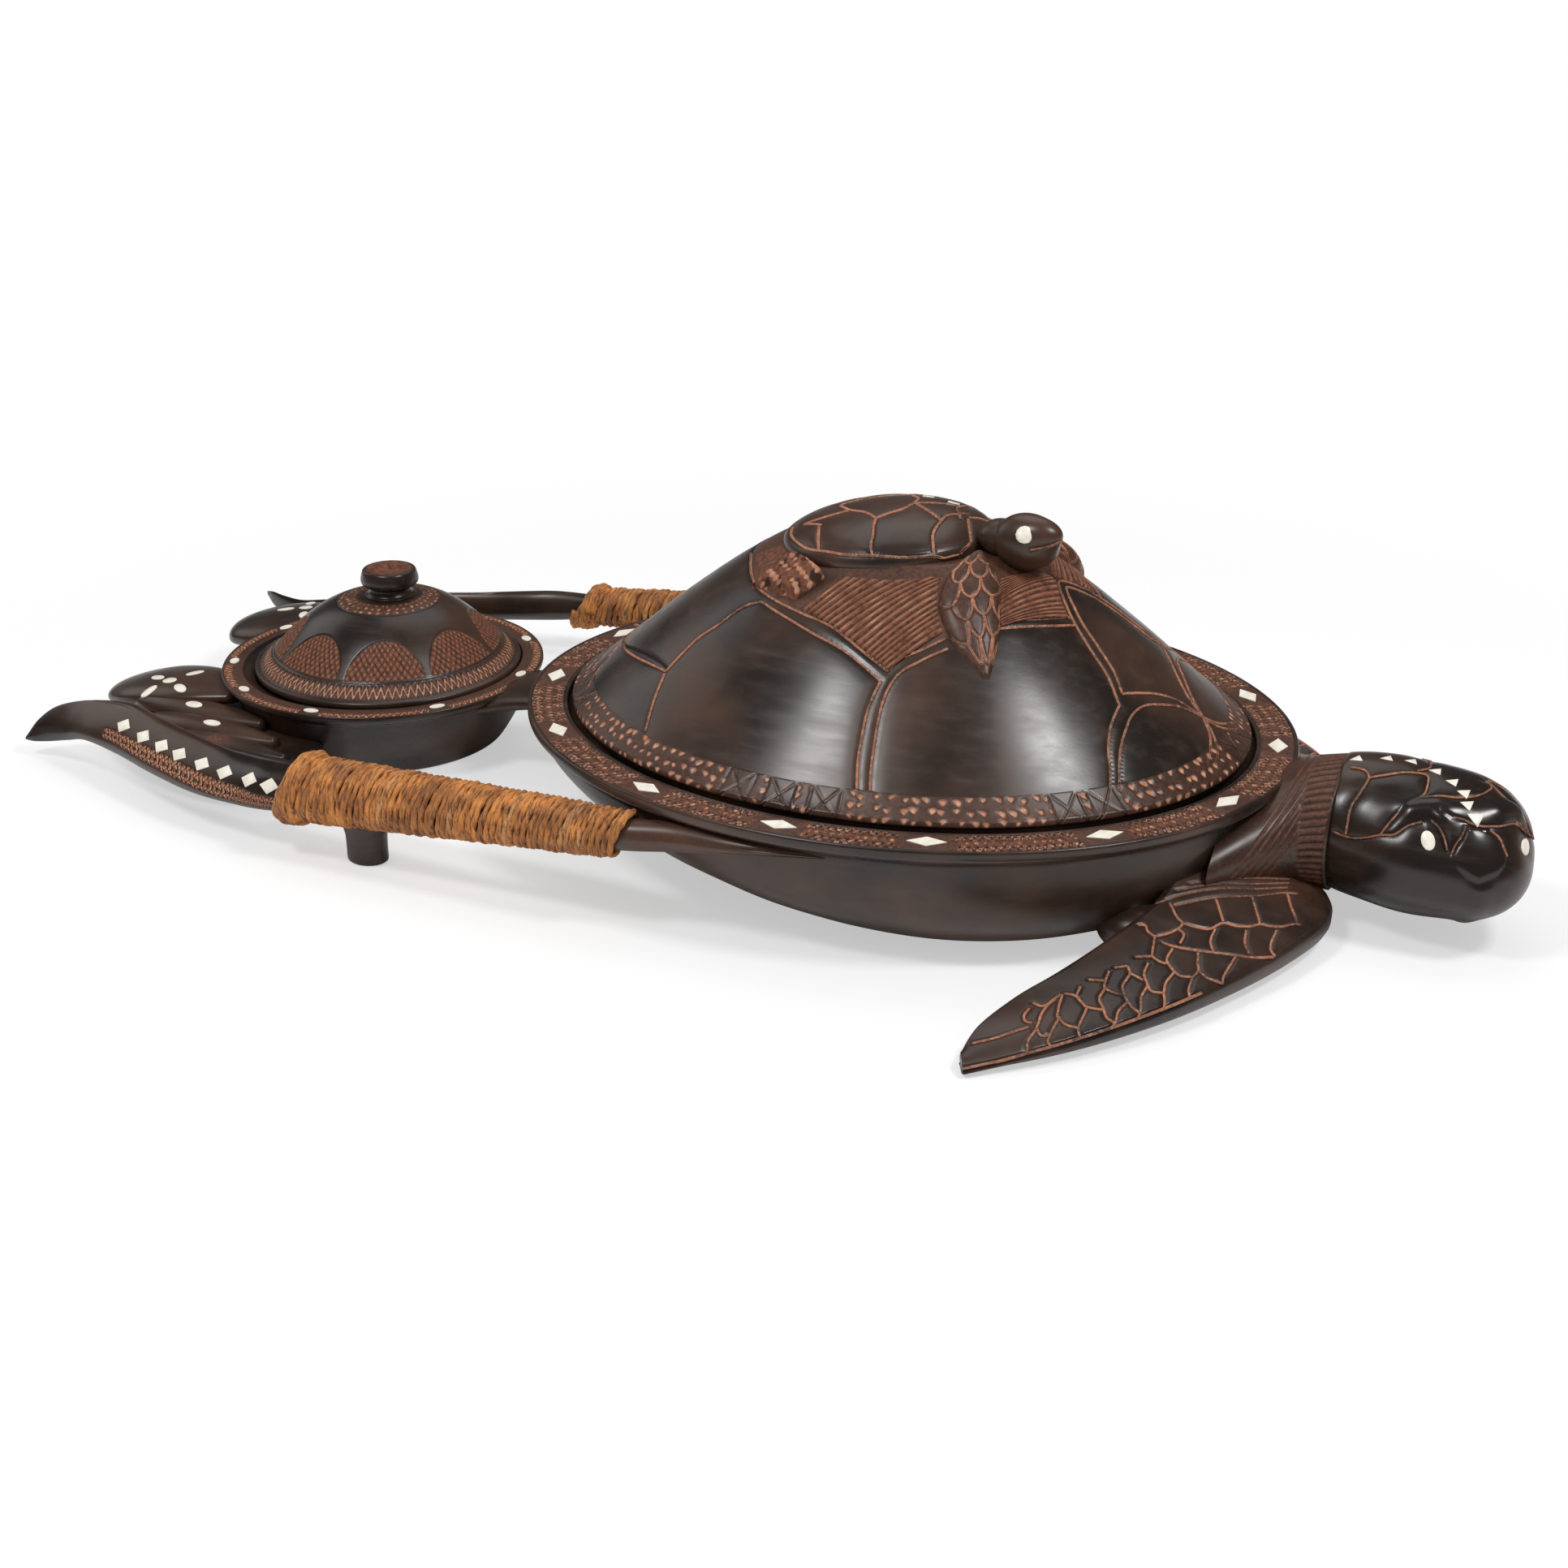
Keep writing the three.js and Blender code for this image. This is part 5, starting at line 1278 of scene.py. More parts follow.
# Handle stations from the rim back, in right-hand coordinates: middle and half thickness
HANDLE_PATHS = {
    "right": np.array([
        (30, -183, 62.5, 1.3), (8, -185.5, 62, 2.5), (-25, -186.5, 60, 5), (-60, -182.5, 57, 8.3),
        (-87, -186, 55, 9), (-147.75, -183.1, 50.5, 10.8), (-208.5, -180.2, 46, 12.6),
        (-269.25, -177.4, 41.5, 14.5), (-330, -174.5, 37, 16.4)]),
    "left": np.array([
        (30, -183, 62.5, 1.1), (8, -185.5, 62, 2.1), (-25, -186.5, 60, 4.1), (-60, -182.5, 57, 6.9),
        (-87, -186, 59, 7.5), (-147.75, -183.1, 53.25, 8.05), (-208.5, -180.2, 47.5, 8.6),
        (-269.25, -177.4, 41.75, 9.3), (-330, -174.5, 36, 10)]),
}
HANDLE_FROM, HANDLE_TO = 28, -308
HANDLE_RIDGES = [(3.9, 0.2, 1.0), (3.2, 0.18, 0.7), (3.55, 0.1, -0.6)]  # angle round the bar, width, height


def handle_at(x, side):
    """Path values of a handle at places along X."""
    path = HANDLE_PATHS[side]
    return spline(-path[:, 0], path, -np.asarray(x, float))


def handles():
    """Handles: a round bar that thins toward the rim, with a sharp ridge on its bare part."""
    t = angles(64)
    ring = np.stack([0 * t, np.cos(t), np.sin(t)], -1)
    ridges = sum(high * bell(t - place, wide) for place, wide, high in HANDLE_RIDGES)
    for side in SIDES:
        s = handle_at(np.linspace(HANDLE_FROM, HANDLE_TO, 120), side)
        grid = s[:, None, :3] + s[:, None, 3:] * ring
        bare = smoothstep(-95, -70, grid[..., 0])
        grid += (0.9 * bare * ridges)[..., None] * [0, -0.7, 0.7]
        on_side(side, "handle_%s_carved", tube(grid, chip=0.16 * bare), WOOD, "root", "handle_%s")


CORD_R, CORD_TWISTS, CORD_SIDES = 2.0, 9, 12
# Runs of cord: turns, from and to along X, lean, seed of the unevenness, steps a turn, lift over those below
CORD_RUNS = [
    (57, -88, -313, 3.2, 20, 48, 0.0), (4, -299, -309, 4.2, 40, 60, 1.5), (2, -302, -308, 5.0, 50, 60, 2.4)]


def uneven(k, per_turn, turns, seed):
    """Repeatable values of 0 to 1 at k turns along a cord, drawn afresh a number of times a turn."""
    knots = np.arange(turns * per_turn + 1)
    return np.interp(k, knots / per_turn, hashed(knots, seed))


def wound(side, turns, x_from, x_to, lean, seed, steps, lift):
    """Grid of a cord wound round a handle: a helix whose turns lean and wander, and a tone for each ring."""
    k = np.arange(turns * steps + 1) / steps
    angle = TAU * k
    x = x_from + (x_to - x_from) * k / turns
    tilt = lean * (0.8 + 0.5 * uneven(k, 1, turns, seed + 1)) * (1 + 1.2 * smoothstep(0.8, 1.0, k / turns))
    wander = 1.5 * (uneven(k, 3, turns, seed) - 0.5)
    at = handle_at(x, side)
    out = np.stack([0 * angle, np.cos(angle), np.sin(angle)], -1)
    from_axis = at[:, 3] * 1.035 + CORD_R + 0.25 + lift + 1.0 * uneven(k, 4, turns, seed + 2)
    centre = np.stack([x + tilt * np.sin(angle) + wander, at[:, 1], at[:, 2]], -1) + out * from_axis[:, None]
    side_way = unit(np.cross(unit(np.gradient(centre, axis=0)), out))
    around = angles(CORD_SIDES)
    twist = np.cos(2 * around - TAU * CORD_TWISTS * k[:, None])
    thick = CORD_R * (1 + 0.17 * twist + 0.3 * (uneven(k, 7, turns, seed + 3)[:, None] - 0.5))
    grid = centre[:, None] + thick[..., None] * (
        side_way[:, None] * np.cos(around)[None, :, None] + out[:, None] * np.sin(around)[None, :, None])
    return grid, uneven(k, 2, turns, seed + 4)[:, None]


def bindings():
    """Two cord bindings: 57 turns each, and at the hind end a few turns that cross over them."""
    for side in SIDES:
        sheet = Sheet()
        for run in CORD_RUNS:
            grid, turn = wound(side, *run)
            sheet.solid(grid, turn=turn)
        on_side(side, "binding_%s_cord", sheet, CORD, "root", "binding_%s")


FOOT_X, FOOT_TOPS = -265.0, {"right": 27.0, "left": 31.0}
FOOT_NARROW, FOOT_INWARD = 0.8, 3
FOOT_SECTION = [(0.3, 0), (9.5, 0), (11.8, 0.7), (12.6, 2.2), (12.6, 8), (12.8, 16)]  # radius and height


def feet():
    """Peg feet: oval pegs that flare at the top, which the binding hides, and are rounded at the floor."""
    for side in SIDES:
        top = FOOT_TOPS[side]
        profile = FOOT_SECTION + [(13.4, top - 1), (0.5, top)]
        smooth = spline(np.linspace(0, 1, len(profile)), profile, np.linspace(0, 1, 60))
        place = [FOOT_X, handle_at([FOOT_X], side)[0, 1] + FOOT_INWARD, 0]
        peg = turned_piece(smooth, 72, 0) * [1.0, FOOT_NARROW, 1] + place
        on_side(side, "foot_%s_carved", tube(peg), WOOD, "root", "foot_%s")


BRIDGE_X, BRIDGE_LONG, BRIDGE_Z, BRIDGE_CLIMB = -277.0, 71.0, 40.0, 17.0
BRIDGE_WIDE, BRIDGE_WIDER, BRIDGE_WAIST, BRIDGE_HALF = 36.0, 12.0, 9.0, 7.5


def bridge():
    """Bridge of wood between the two bowls: a lens section carried from one to the other, with a waist."""
    k = np.linspace(0, 1, 60)[:, None]
    t = angles(90)
    half = BRIDGE_WIDE + BRIDGE_WIDER * k - BRIDGE_WAIST * np.sin(np.pi * k)
    z = BRIDGE_Z + BRIDGE_CLIMB * k + BRIDGE_HALF * signed_power(np.sin(t), 0.8)
    grid = np.stack([BRIDGE_X + BRIDGE_LONG * k + 0 * t, half * np.cos(t), z], -1)
    added("tail_bridge_carved", tube(grid), WOOD, "root", "tail_bridge")


# Shares of the blade's length, and of the way round its section
BLADE_DIAMONDS = [
    (0.49, 0.462), (0.436, 0.464), (0.389, 0.461), (0.346, 0.456), (0.291, 0.454), (0.235, 0.466),
    (0.149, 0.474), (0.067, 0.49)]
# Places along the blade, and there: upper and lower edge of the chip band, and middle of the ridge
BLADE_CARVING = np.array([
    (0, 0.57, 0.69, 0.35), (0.09, 0.56, 0.684, 0.35), (0.16, 0.535, 0.672, 0.347), (0.235, 0.518, 0.66, 0.34),
    (0.31, 0.497, 0.622, 0.30), (0.386, 0.496, 0.611, 0.307), (0.45, 0.508, 0.61, 0.305),
    (0.525, 0.514, 0.597, 0.26), (1, 0.514, 0.597, 0.23)])
BLADE_LONG, BLADE_ROUND, BLADE_CHIPS, BLADE_BAND_EDGE = 240.0, 100.0, 92, 0.004
DIAMOND, TABLET_OVAL = [(7, 0), (0, 5), (-7, 0), (0, -5)], (6.2, 3.4)
# The left blade's fifth tablet is an oval, set higher up
LEFT_OVAL, LEFT_OVAL_SPOT = 4, (0.283, 0.405)


def hind_blades():
    """Hind blades: the leaning section carried to its point, with a ridge, a chip band and eight tablets."""
    a = np.concatenate([np.linspace(0, 0.6, 300), np.linspace(0.605, 1, 70)])
    along, around = np.meshgrid(a, np.arange(160) / 160, indexing="ij")
    _, high, low, crest = spline(BLADE_CARVING[:, 0], BLADE_CARVING, a).T[:, :, None]
    ridge = bell(around - crest, 0.024) * smoothstep(0.72, 0.55, along)
    hollow = bell(around - crest - 0.06, 0.03) * smoothstep(0.68, 0.5, along)
    edge = BLADE_BAND_EDGE
    band = smoothstep(high - edge, high + edge, around) * smoothstep(low + edge, low - edge, around)
    band *= smoothstep(0.54, 0.53, along)
    row = np.clip((around - high) / (low - high), 0, 1) * 2
    pits = triangle_pits(along * BLADE_CHIPS + 0.5 * (row >= 1), row - np.where(row < 1, 0.5, 1.5))
    # Painted shade in the chips' depths
    marks = {"chip": 0.8 * band, "pit": band * smoothstep(0.5, 1, pits),
             "fleck": 0.85 * band * smoothstep(0.1, 0.35, pits) * smoothstep(0.98, 0.7, pits)}
    for side in SIDES:
        grid = blade_at(along, around, side)
        out = outward(grid, grid.mean(1, keepdims=True))
        grid = grid + out * (1.1 * ridge - 0.7 * hollow - 0.75 * band * pits)[..., None]
        on_side(side, "hind_blade_%s_carved", tube(grid, **marks), WOOD, "root", "hind_blade_%s")

        def at(flat, side=side):
            return blade_at(flat[..., 0] / BLADE_LONG, flat[..., 1] / BLADE_ROUND, side)
        tablets = [(spot, DIAMOND) for spot in BLADE_DIAMONDS]
        if side == "left":
            tablets[LEFT_OVAL] = LEFT_OVAL_SPOT, round_outline(*TABLET_OVAL)
        diamonds = Sheet()
        for spot, shape in tablets:
            here = np.array(spot) * [BLADE_LONG, BLADE_ROUND]
            inlay(diamonds, at, here, here + [5, 0], shape)
        on_side(side, "hind_blade_%s_diamonds", diamonds, SHELL, "root")


# Toes: outer end x, y, root x, y, half width, half height, height of the middle, droop of the outer end
TOES = [(-498, -88, -395, -92, 12, 8, 31, 0), (-470, -110, -372, -112, 11.5, 8, 30, 0),
        (-440, -127, -352, -130, 10, 8, 29, 0)]
LOBES = {"right": (-536, -58, -430, -68, 31, 8, 39, 16), "left": (-531, -64, -428, -70, 37, 10, 38, 12)}
TOE_SWELL = [(0, 0.02), (0.02, 0.32), (0.06, 0.58), (0.22, 0.92), (0.5, 1), (0.8, 0.76), (1, 0.4)]
LOBE_PETALS = [(-493.7, -70.5), (-471.3, -60.4), (-486.1, -89.4), (-465.2, -83.9)]
LOBE_MIDDLE = (-480.1, -75.4)
TOE_SPOTS = [(-446.8, -94.3), (-418.3, -113.5)]
PETAL_OVAL, MIDDLE_OVAL, TOE_OVAL = (6.2, 3.3), (5.0, 4.0), (6.2, 3.2)
WEB = [(-505, -70), (-494, -100), (-466, -121), (-430, -138), (-375, -147), (-352, -139), (-346, -122),
       (-354, -90), (-378, -83), (-412, -70), (-441, -45), (-490, -42)]
# Section of the web's edge: share of its outline, and height
WEB_SECTION = [(0.93, 20), (0.99, 21), (1, 23), (1, 25), (0.985, 27), (0.94, 28), (0.5, 28)]


def toe_swell(share):
    """Share of its full width that a toe has at a share of its length."""
    return spline(*np.array(TOE_SWELL).T, np.ravel(share)).reshape(np.shape(share))


def toe_frame(toe):
    """Outer end, axis, unit side way and half width of a toe in plan."""
    x0, y0, x1, y1, half = toe[:5]
    axis = np.array([x1 - x0, y1 - y0], float)
    return np.array([x0, y0]), axis, np.array([-axis[1], axis[0]]) / np.hypot(*axis), half


def toe_at(toe, flat):
    """Surface of a toe over its share of length and angle round it: an oval section that swells."""
    end, axis, side, half = toe_frame(toe)
    rise, z, droop = toe[5:]
    share, t = flat[..., 0], flat[..., 1]
    swell = toe_swell(share)
    across = half * swell * np.cos(t)
    up = rise * np.minimum(1, 0.35 + swell * 0.65) * signed_power(np.sin(t), 0.85)
    plan = end + axis * share[..., None] + side * across[..., None]
    return np.concatenate([plan, (z + up - droop * (1 - share) ** 2)[..., None]], -1)


def place_on_toe(toe, spot):
    """Share of length and angle of a plan place on top of a toe."""
    end, axis, side, half = toe_frame(toe)
    away = np.array(spot, float) - end
    share = away @ axis / (axis @ axis)
    return np.array([share, math.acos(np.clip(away @ side / (half * toe_swell(share)), -1, 1))])


TOE_LONG, TOE_ROUND = 100.0, 30.0


def toe_inlays(sheet, toe, spots, shape, toward=None):
    """Oval tablets on a toe, long along it or toward one place on it."""
    def at(flat):
        return toe_at(toe, np.asarray(flat, float) / [TOE_LONG, TOE_ROUND])
    for spot in spots:
        here = place_on_toe(toe, spot) * [TOE_LONG, TOE_ROUND]
        ahead = place_on_toe(toe, toward) * [TOE_LONG, TOE_ROUND] if toward else here + [5, 0]
        inlay(sheet, at, here, ahead, round_outline(*shape), way=-1)


def hind_flippers():
    """Hind flippers: a web plate with overlapping toes, ovals on two of them and a flower on the lobe."""
    share, t = np.meshgrid(np.linspace(0, 1, 70), angles(80), indexing="ij")
    outline = path_through(WEB + WEB[:1], 3.0)[:-1]
    centre = outline.mean(0)
    plate = np.stack([np.insert(centre + (outline - centre) * k, 2, z, axis=1) for k, z in WEB_SECTION])
    for side in SIDES:
        sheet, white, lobe = Sheet(), Sheet(), LOBES[side]
        for toe in [lobe] + TOES:
            red = 0.8 * bell(share - 0.43, 0.08) * (toe is TOES[2])
            sheet.solid(toe_at(toe, np.stack([share, t], -1)), chip=red)
        sheet.solid(plate)
        on_side(side, "hind_flipper_%s_carved", sheet, WOOD, "root", "hind_flipper_%s")
        toe_inlays(white, lobe, LOBE_PETALS, PETAL_OVAL, LOBE_MIDDLE)
        toe_inlays(white, lobe, [LOBE_MIDDLE], MIDDLE_OVAL)
        for toe, spot in zip(TOES, TOE_SPOTS):
            toe_inlays(white, toe, [spot], TOE_OVAL)
        on_side(side, "hind_flipper_%s_inlays", white, SHELL, "root")


# Collar stations: X, half width, half height and height of the middle
COLLAR = [(206, 88, 24, 42), (228, 62, 31, 45), (244, 46, 35, 48), (NECK_X + 0.8, 41, 38, 49.5)]
COLLAR_PLACES = [0, 0.42, 0.73, 1]
COLLAR_GROOVES = [219 + 4.6 * k for k in range(5)]
GROOVE_LEAN, COMB_RIDGES = 17, 26


def neck_collar():
    """Collar from hull to head: five oblique grooves, low behind and high in front, then a comb of ridges."""
    s = spline(COLLAR_PLACES, COLLAR, np.linspace(0, 1, 110))
    t = angles(360)
    x, wide, high, z = s.T[:, :, None]
    comb = smoothstep(243, 246, x + 3 * np.sin(t)) * smoothstep(257.8, 256.5, x)
    ridges = np.abs(np.sin(t * COMB_RIDGES)) ** 0.8
    grooves = lines_at(x - GROOVE_LEAN * np.sin(t), COLLAR_GROOVES, 0.9)
    lines = grooves * smoothstep(-0.5, -0.2, np.sin(t)) * (1 - comb)
    depth = 1.2 * comb * (1 - ridges) * (0.4 + 0.6 * (np.sin(t) > -0.6)) + 1.0 * lines
    grid = np.stack([x + 0 * t, (wide - depth) * np.cos(t), z + (high - depth) * np.sin(t)], -1)
    # Painted shade between the comb's ridges, painted highlight on their crests, and pale pigment in the
    # grooves
    sheet = tube(grid, chip=np.clip(0.22 + 0.4 * comb + 0.8 * lines, 0, 1), pit=comb * (1 - ridges),
                 fleck=0.27 * comb * smoothstep(0.6, 0.95, ridges) + 0.3 * lines)
    added("neck_collar_carved", sheet, WOOD, "root", "neck_collar")


FLIPPER_LONG, FLIPPER_WIDE = 250.0, 75.0
SHOULDER_LINES = [
    [(74, 11), (67, 24), (62, 41), (54, 54), (53, 59)], [(70, 2), (63, 10), (58, 23), (55, 40), (48, 54)],
    [(58, 6), (54, 18), (50, 39), (42, 55)], [(52, 10), (48, 24), (44, 38), (37, 55)],
    [(48, 15), (42, 26), (37, 42)], [(42, 19), (34, 36), (26, 52)], [(38, 24), (30, 37), (16, 61)],
]
FLIPPER_NET = [
    [(71, 8), (87, 18), (94, 24)], [(68, 26), (78, 31), (90, 38)], [(63, 40), (75, 45), (90, 53)],
    [(54, 54), (68, 58), (83, 65)],
    [(94, 24), (98, 32), (99, 37), (92, 39), (94, 45), (93, 51), (90, 53), (91, 58), (90, 62), (85, 66),
     (86, 68)],
    [(94, 6), (94, 8), (102, 14), (108, 20)], [(108, 20), (106, 23), (100, 25), (94, 24)],
    [(100, 25), (105, 30), (115, 34)],
    [(114, 26), (118, 33), (121, 43), (122, 52), (123, 62), (123, 70), (120, 75)],
    [(98, 39), (111, 44), (121, 51)], [(97, 51), (111, 58), (120, 65)],
    [(94, 62), (108, 67), (115, 71), (119, 75)], [(108, 20), (118, 25), (129, 31)],
    [(129, 31), (135, 39), (136, 42)], [(120, 34), (132, 39), (143, 49)],
    [(143, 49), (148, 56), (148, 60)], [(123, 46), (134, 53), (141, 58), (149, 61)],
    [(141, 58), (147, 66), (150, 74), (150, 75)], [(124, 62), (136, 67), (146, 72), (150, 75)],
    [(130, 25), (129, 31)], [(136, 34), (148, 40), (160, 50)], [(148, 34), (152, 40), (155, 44)],
    [(160, 50), (166, 57), (166, 62)], [(144, 50), (156, 55), (166, 62)],
    [(149, 61), (161, 69), (167, 75)], [(166, 62), (175, 71), (179, 75)],
    [(146, 24), (158, 30), (167, 36), (172, 46)], [(140, 28), (148, 34), (163, 41), (173, 50), (178, 56)],
    [(178, 56), (183, 64), (186, 71)], [(160, 50), (172, 57), (186, 71)], [(186, 71), (190, 75)],
    [(142, 24), (140, 28)], [(157, 22), (158, 30)], [(167, 36), (178, 42), (188, 54)],
    [(178, 56), (187, 61), (197, 72)], [(188, 54), (194, 63), (197, 72)], [(197, 72), (200, 75)],
    [(166, 24), (178, 31), (187, 43)], [(187, 43), (188, 48), (188, 54)],
    [(176, 23), (176, 26), (180, 34)], [(177, 23), (189, 31), (199, 40)],
    [(188, 45), (198, 54), (206, 63), (212, 75)], [(199, 40), (205, 53), (206, 63)],
    [(177, 22), (186, 24), (198, 30), (212, 43)], [(188, 16), (191, 24), (183, 24)],
    [(212, 43), (217, 57), (215, 59)], [(199, 42), (210, 52), (220, 67), (222, 75)],
    [(194, 19), (202, 23), (208, 31), (208, 35)], [(212, 43), (223, 56), (230, 75)],
    [(237, 14), (228, 30), (212, 38)], [(250, 71), (240, 75), (229, 75)],
    [(229, 75), (216, 75), (203, 75), (190, 75), (175, 75), (161, 75)],
]


def on_flipper(flat):
    """Top of the front flipper over millimetres along it and across it."""
    flat = np.asarray(flat, float)
    return flipper_top(flat[..., 0] / FLIPPER_LONG, flat[..., 1] / FLIPPER_WIDE)


SWEEP_CENTRE, SWEEP_ANGLE = np.array([210, 60]), math.radians(4)


def swept(points):
    """Points of the left front flipper, which is turned back a little about its shoulder."""
    c, s = math.cos(SWEEP_ANGLE), math.sin(SWEEP_ANGLE)
    xy = (points[:, :2] - SWEEP_CENTRE) @ np.array([[c, s], [-s, c]]) + SWEEP_CENTRE
    return np.concatenate([xy, points[:, 2:]], -1)


# Sides of the front flipper below its top: out from the edge in plan, and share of the edge's height
OUTER_SIDE = [(0.5, 0.85), (0.3, 0.6), (-1.5, 0.42), (-6, 0.28), (-13, 0.12)]
INNER_SIDE = [(2.2, 0.1), (1.0, 0.35), (-0.3, 0.6), (-0.5, 0.85)]
SOLE_Z, SOLE_IN, SOLE_OUT = 0.6, 3.2, 20
LUG_PLACE, LUG_RADII = np.array([176, -108, 17.0]), (22, 18, 14)


def flipper_side(edge, height, out, rows):
    """Rows of points beside one edge of a flipper, down from a height over the floor's first millimetre."""
    return [np.insert(edge + out * o, 2, 1 + (height - 1) * share, axis=1)[:, None] for o, share in rows]


def front_flippers():
    """Front flippers: a netted top between two plan edges, rounded sides, a flat underside and a lug."""
    s = np.linspace(0, 1, 300)
    along, across = np.meshgrid(s, np.linspace(0, 1, 100), indexing="ij")
    top = flipper_top(along, across)
    gap = near_lines(top, on_flipper, FLIPPER_NET + SHOULDER_LINES, 1.5)
    edge = np.minimum(across, 1 - across)
    drop = 2.2 * (1 - smoothstep(0, 0.05, edge)) + 0.75 * stroke(gap, 2.0) * smoothstep(0.0, 0.03, edge)
    top = top - upward(top) * drop[..., None]
    a, b = flipper_frame(s)[:2]
    out = unit(b - a)
    wide = np.minimum(np.linalg.norm(b - a, axis=-1, keepdims=True) / 60, 1)
    under = (b - out * SOLE_OUT * wide, a + out * SOLE_IN)
    sole = [np.insert(xy, 2, SOLE_Z, axis=1)[:, None] for xy in under]
    rows = [top, *flipper_side(b, top[:, -1, 2], out, OUTER_SIDE), *sole]
    grid = np.concatenate(rows + flipper_side(a, top[:, 0, 2], out, INNER_SIDE), axis=1)
    red = np.zeros(grid.shape[:2])
    red[:, :across.shape[1]] = 0.4 * smoothstep(0.3, 0.12, along)
    sheet = tube(grid, chip=red)
    sheet.solid(blob_grid(LUG_PLACE, [((0, 0, 0), LUG_RADII)], 4, 40, 60, 60))
    pair("front_flipper_%s_carved", sheet, WOOD, "root", "front_flipper_%s", turn=swept)
    pigment = groove_lines(on_flipper, FLIPPER_NET, width=1.15, sunk=0.45, step=1.8)
    groove_lines(on_flipper, SHOULDER_LINES, width=0.8, sunk=0.5, dark=0.3, sheet=pigment)
    pair("front_flipper_%s_lines", pigment, PIGMENT_LINE, "root", turn=swept)


def cad_inlays():
    """The inlays that are nodes of the frame keep their shape and take the shell material."""
    for name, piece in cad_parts.items():
        if "inlay" in name or "lid_turtle_eye" in name:
            piece.data.materials.clear()
            piece.data.materials.append(SHELL)


def lid_lines():
    """Pigment lines of the main lid: orange ones, and dark ones that the pigment has left."""
    pigment = groove_lines(on_dome, both_sides(LID_LINES), width=1.25, sunk=0.5)
    groove_lines(on_dome, both_sides(LID_DARK), width=1.6, sunk=0.6, dark=1.0, sheet=pigment)
    added("main_lid_lines", pigment, PIGMENT_LINE, "main_lid")


HATCH_LOW = [(-31, -81), (-10, -89), (13, -98), (29, -103)]
HATCH_HIGH = [
    (-12, -63), (-3, -63), (9, -62), (24, -58), (38, -51), (40, -54), (42, -62), (44, -68),
    (47, -72), (51, -77)]
FRONT_HATCH_LOW = [(67, -32), (69, -42), (71, -47), (75, -56), (77, -59)]
FRONT_HATCH_HIGH = [(76, -18), (82, -7), (89, -2), (98, -16), (105, -24)]


def build():
    main_bowl()
    main_rim()
    main_dome()
    main_band()
    lid_lines()
    hatched("main_lid_hatching", HATCH_LOW, HATCH_HIGH, 18, 0.9)
    hatched("main_lid_hatching_front", FRONT_HATCH_LOW, FRONT_HATCH_HIGH, 16, 0.8)
    cub_shell()
    cub_head()
    cub_flippers()
    cub_hind_blocks()
    small_bowl()
    small_lid()
    knob()
    handles()
    bindings()
    feet()
    bridge()
    hind_blades()
    hind_flippers()
    neck_collar()
    head()
    front_flippers()
    cad_inlays()


# Strength of the surround for soft light and for reflections; the camera sees it at 1
WORLD_DIFFUSE, WORLD_GLOSSY = 0.46, 0.072
LAMPS = [  # name, place from the bowl's middle in metres, size, power
    ("front_low", (-0.50, -0.85, 1.45), 0.31, 10), ("front_right", (0.95, -0.2, 1.45), 0.31, 12),
    ("key", (-0.4, 0.9, 1.7), 1.3, 6), ("side", (-1.8, 0.3, 1.0), 1.0, 3)]
LAMP_TARGET = [0, 0, 0.08]
CAMERA_PLACE, CAMERA_TARGET = np.array([437.80, -1153.05, 567.51]), np.array([-77.75, 0, 11.56])
SENSOR, LENS, NEAREST, FARTHEST = 36.0, 51.54, 0.05, 30.0
FLOOR_HALF, FLOOR_GREY, FLOOR_MIDDLE = 14.0, 0.93, [-0.07, 0, 0]
# Distances in metres between which the floor turns white, and how white it is at the least
WHITE_FROM, WHITE_TO, WHITE_LEAST = 0.40, 0.80, 0.5


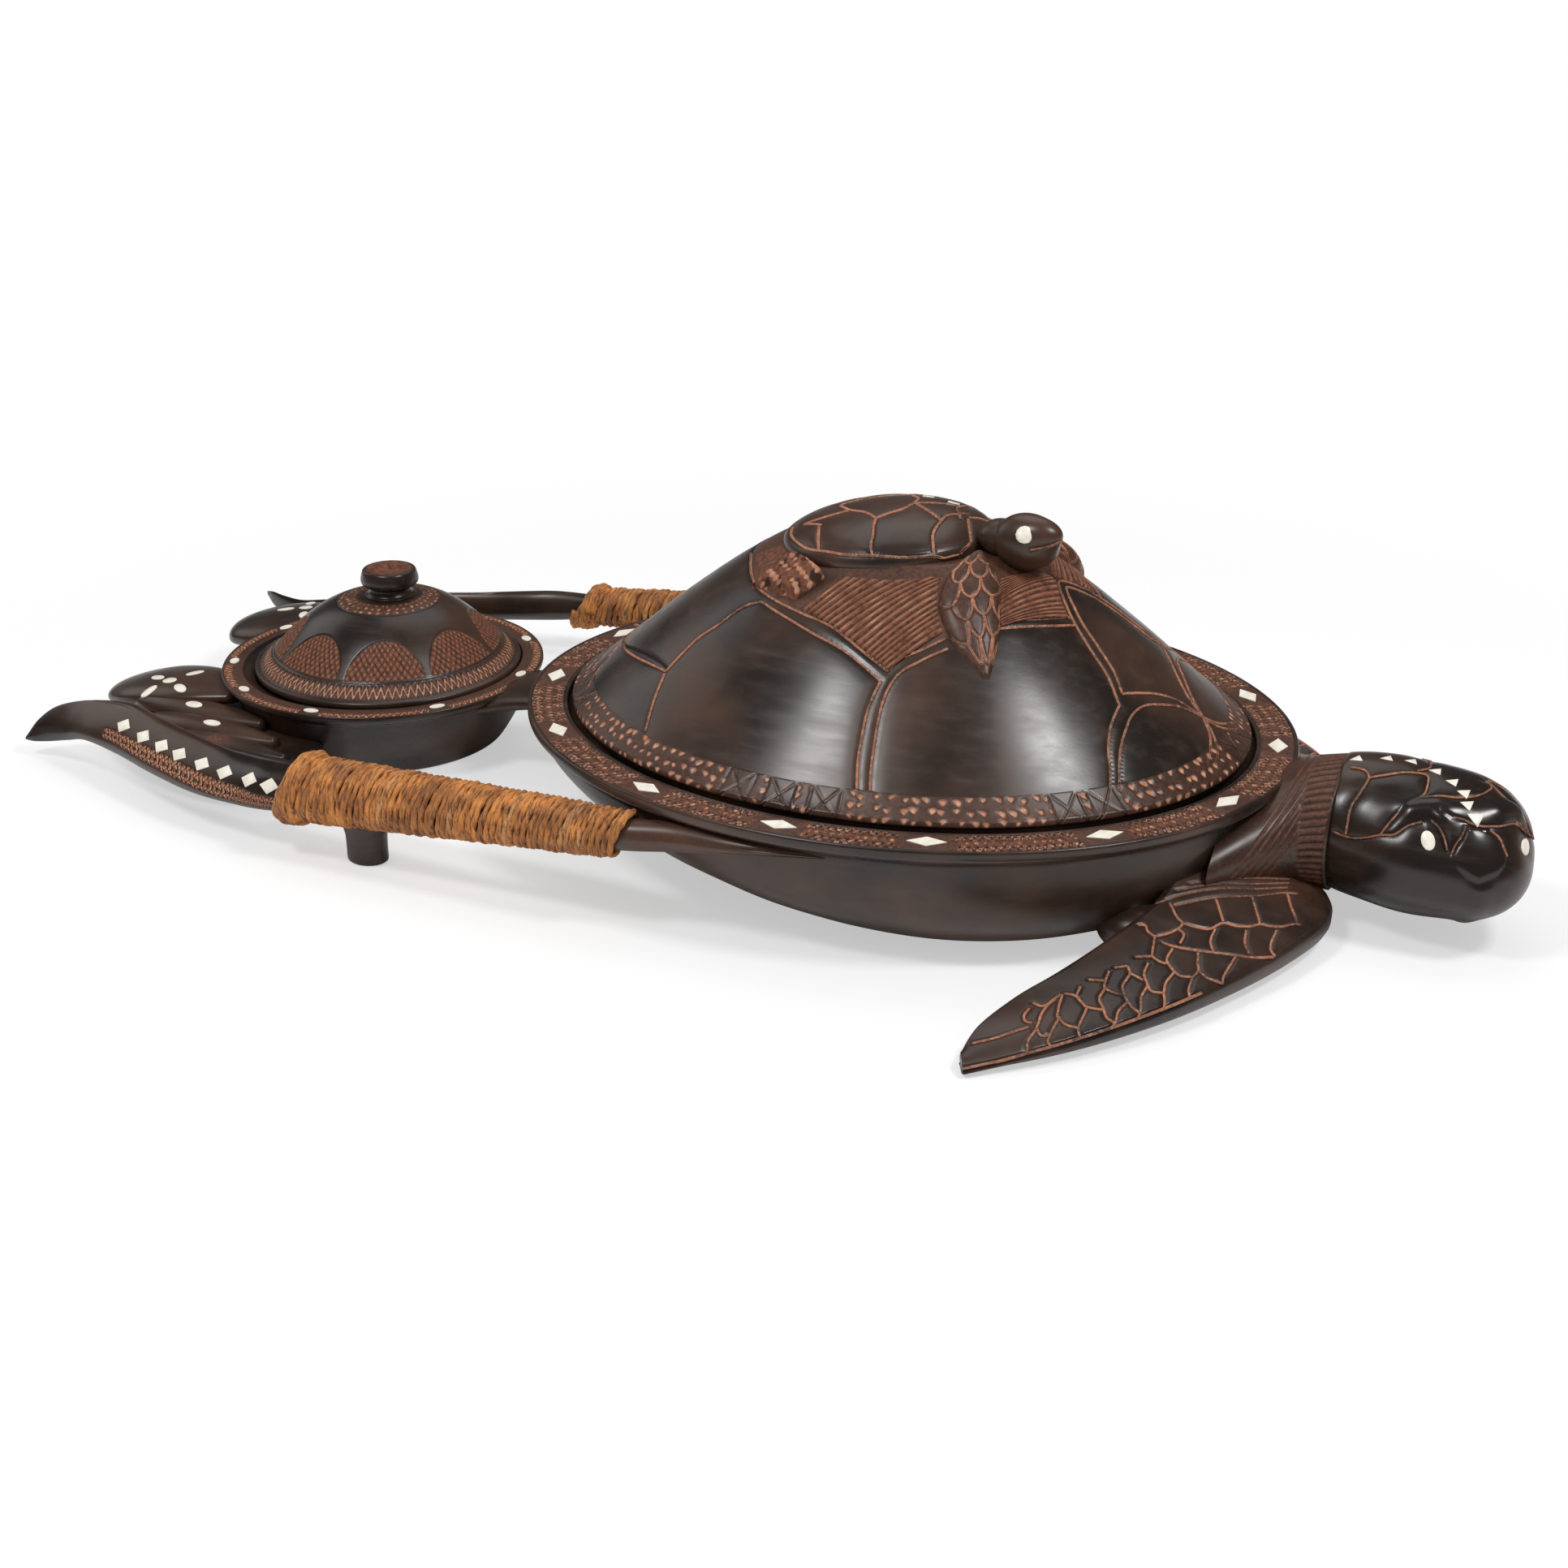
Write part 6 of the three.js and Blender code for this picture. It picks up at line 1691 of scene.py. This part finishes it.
def floor_white():
    """Pale plain floor that turns to pure white for the camera with distance from the bowl."""
    material, tree, shader = new_material("floor_white")
    feed(tree, (FLOOR_GREY,) * 3, shader.inputs["Base Color"])
    feed(tree, 0.9, shader.inputs["Roughness"])
    place = node(tree, "NewGeometry").outputs["Position"]
    away = node(tree, "VectorMath", operation="DISTANCE")
    wire(tree, place, away.inputs[0])
    away.inputs[1].default_value = BOWL_MIDDLE + FLOOR_MIDDLE
    fade = ranged(tree, away.outputs["Value"], WHITE_FROM, WHITE_TO, WHITE_LEAST, smooth=True)
    seen = maths(tree, "MULTIPLY", fade, node(tree, "LightPath").outputs["Is Camera Ray"])
    glow = node(tree, "Emission", Strength=1.0)
    blend = node(tree, "MixShader")
    wire(tree, seen, blend.inputs[0])
    wire(tree, shader, blend.inputs[1])
    wire(tree, glow, blend.inputs[2])
    output = next(n for n in tree.nodes if n.type == "OUTPUT_MATERIAL")
    wire(tree, blend, output.inputs[0])
    return material


def aimed(thing, place, target):
    """Puts a camera or lamp at a place, turned to look at a target."""
    thing.location = place
    thing.rotation_euler = Vector(target - place).to_track_quat("-Z", "Y").to_euler()
    bpy.context.scene.collection.objects.link(thing)


def camera_and_light():
    """Camera at the photograph's angle, soft lamps, and a surround that lights less than it shows."""
    scene = bpy.context.scene
    data = bpy.data.cameras.new("camera")
    data.sensor_width, data.lens, data.clip_start, data.clip_end = SENSOR, LENS, NEAREST, FARTHEST
    scene.camera = bpy.data.objects.new("camera", data)
    aimed(scene.camera, BOWL_MIDDLE + CAMERA_PLACE * MM, BOWL_MIDDLE + CAMERA_TARGET * MM)
    for name, place, size, power in LAMPS:
        lamp = bpy.data.lights.new(name, "AREA")
        lamp.energy, lamp.size = power, size
        aimed(bpy.data.objects.new(name, lamp), BOWL_MIDDLE + place, BOWL_MIDDLE + LAMP_TARGET)
    scene.world = bpy.data.worlds.new("surround")
    scene.world.use_nodes = True
    tree = scene.world.node_tree
    tree.nodes.clear()
    path = node(tree, "LightPath")
    strength = mixed(tree, path.outputs["Is Glossy Ray"], WORLD_DIFFUSE, WORLD_GLOSSY, "FLOAT")
    strength = mixed(tree, path.outputs["Is Camera Ray"], strength, 1.0, "FLOAT")
    sky = node(tree, "Background")
    sky.inputs["Color"].default_value = (1, 1, 1, 1)
    wire(tree, strength, sky.inputs["Strength"])
    wire(tree, sky, node(tree, "OutputWorld").inputs[0])
    scene.view_settings.view_transform = "Standard"
    floor_mesh = bpy.data.meshes.new("floor")
    r = FLOOR_HALF
    floor_mesh.from_pydata([(-r, -r, 0), (r, -r, 0), (r, r, 0), (-r, r, 0)], [], [(0, 1, 2, 3)])
    floor = bpy.data.objects.new("floor", floor_mesh)
    scene.collection.objects.link(floor)
    floor_mesh.materials.append(floor_white())


build()
camera_and_light()
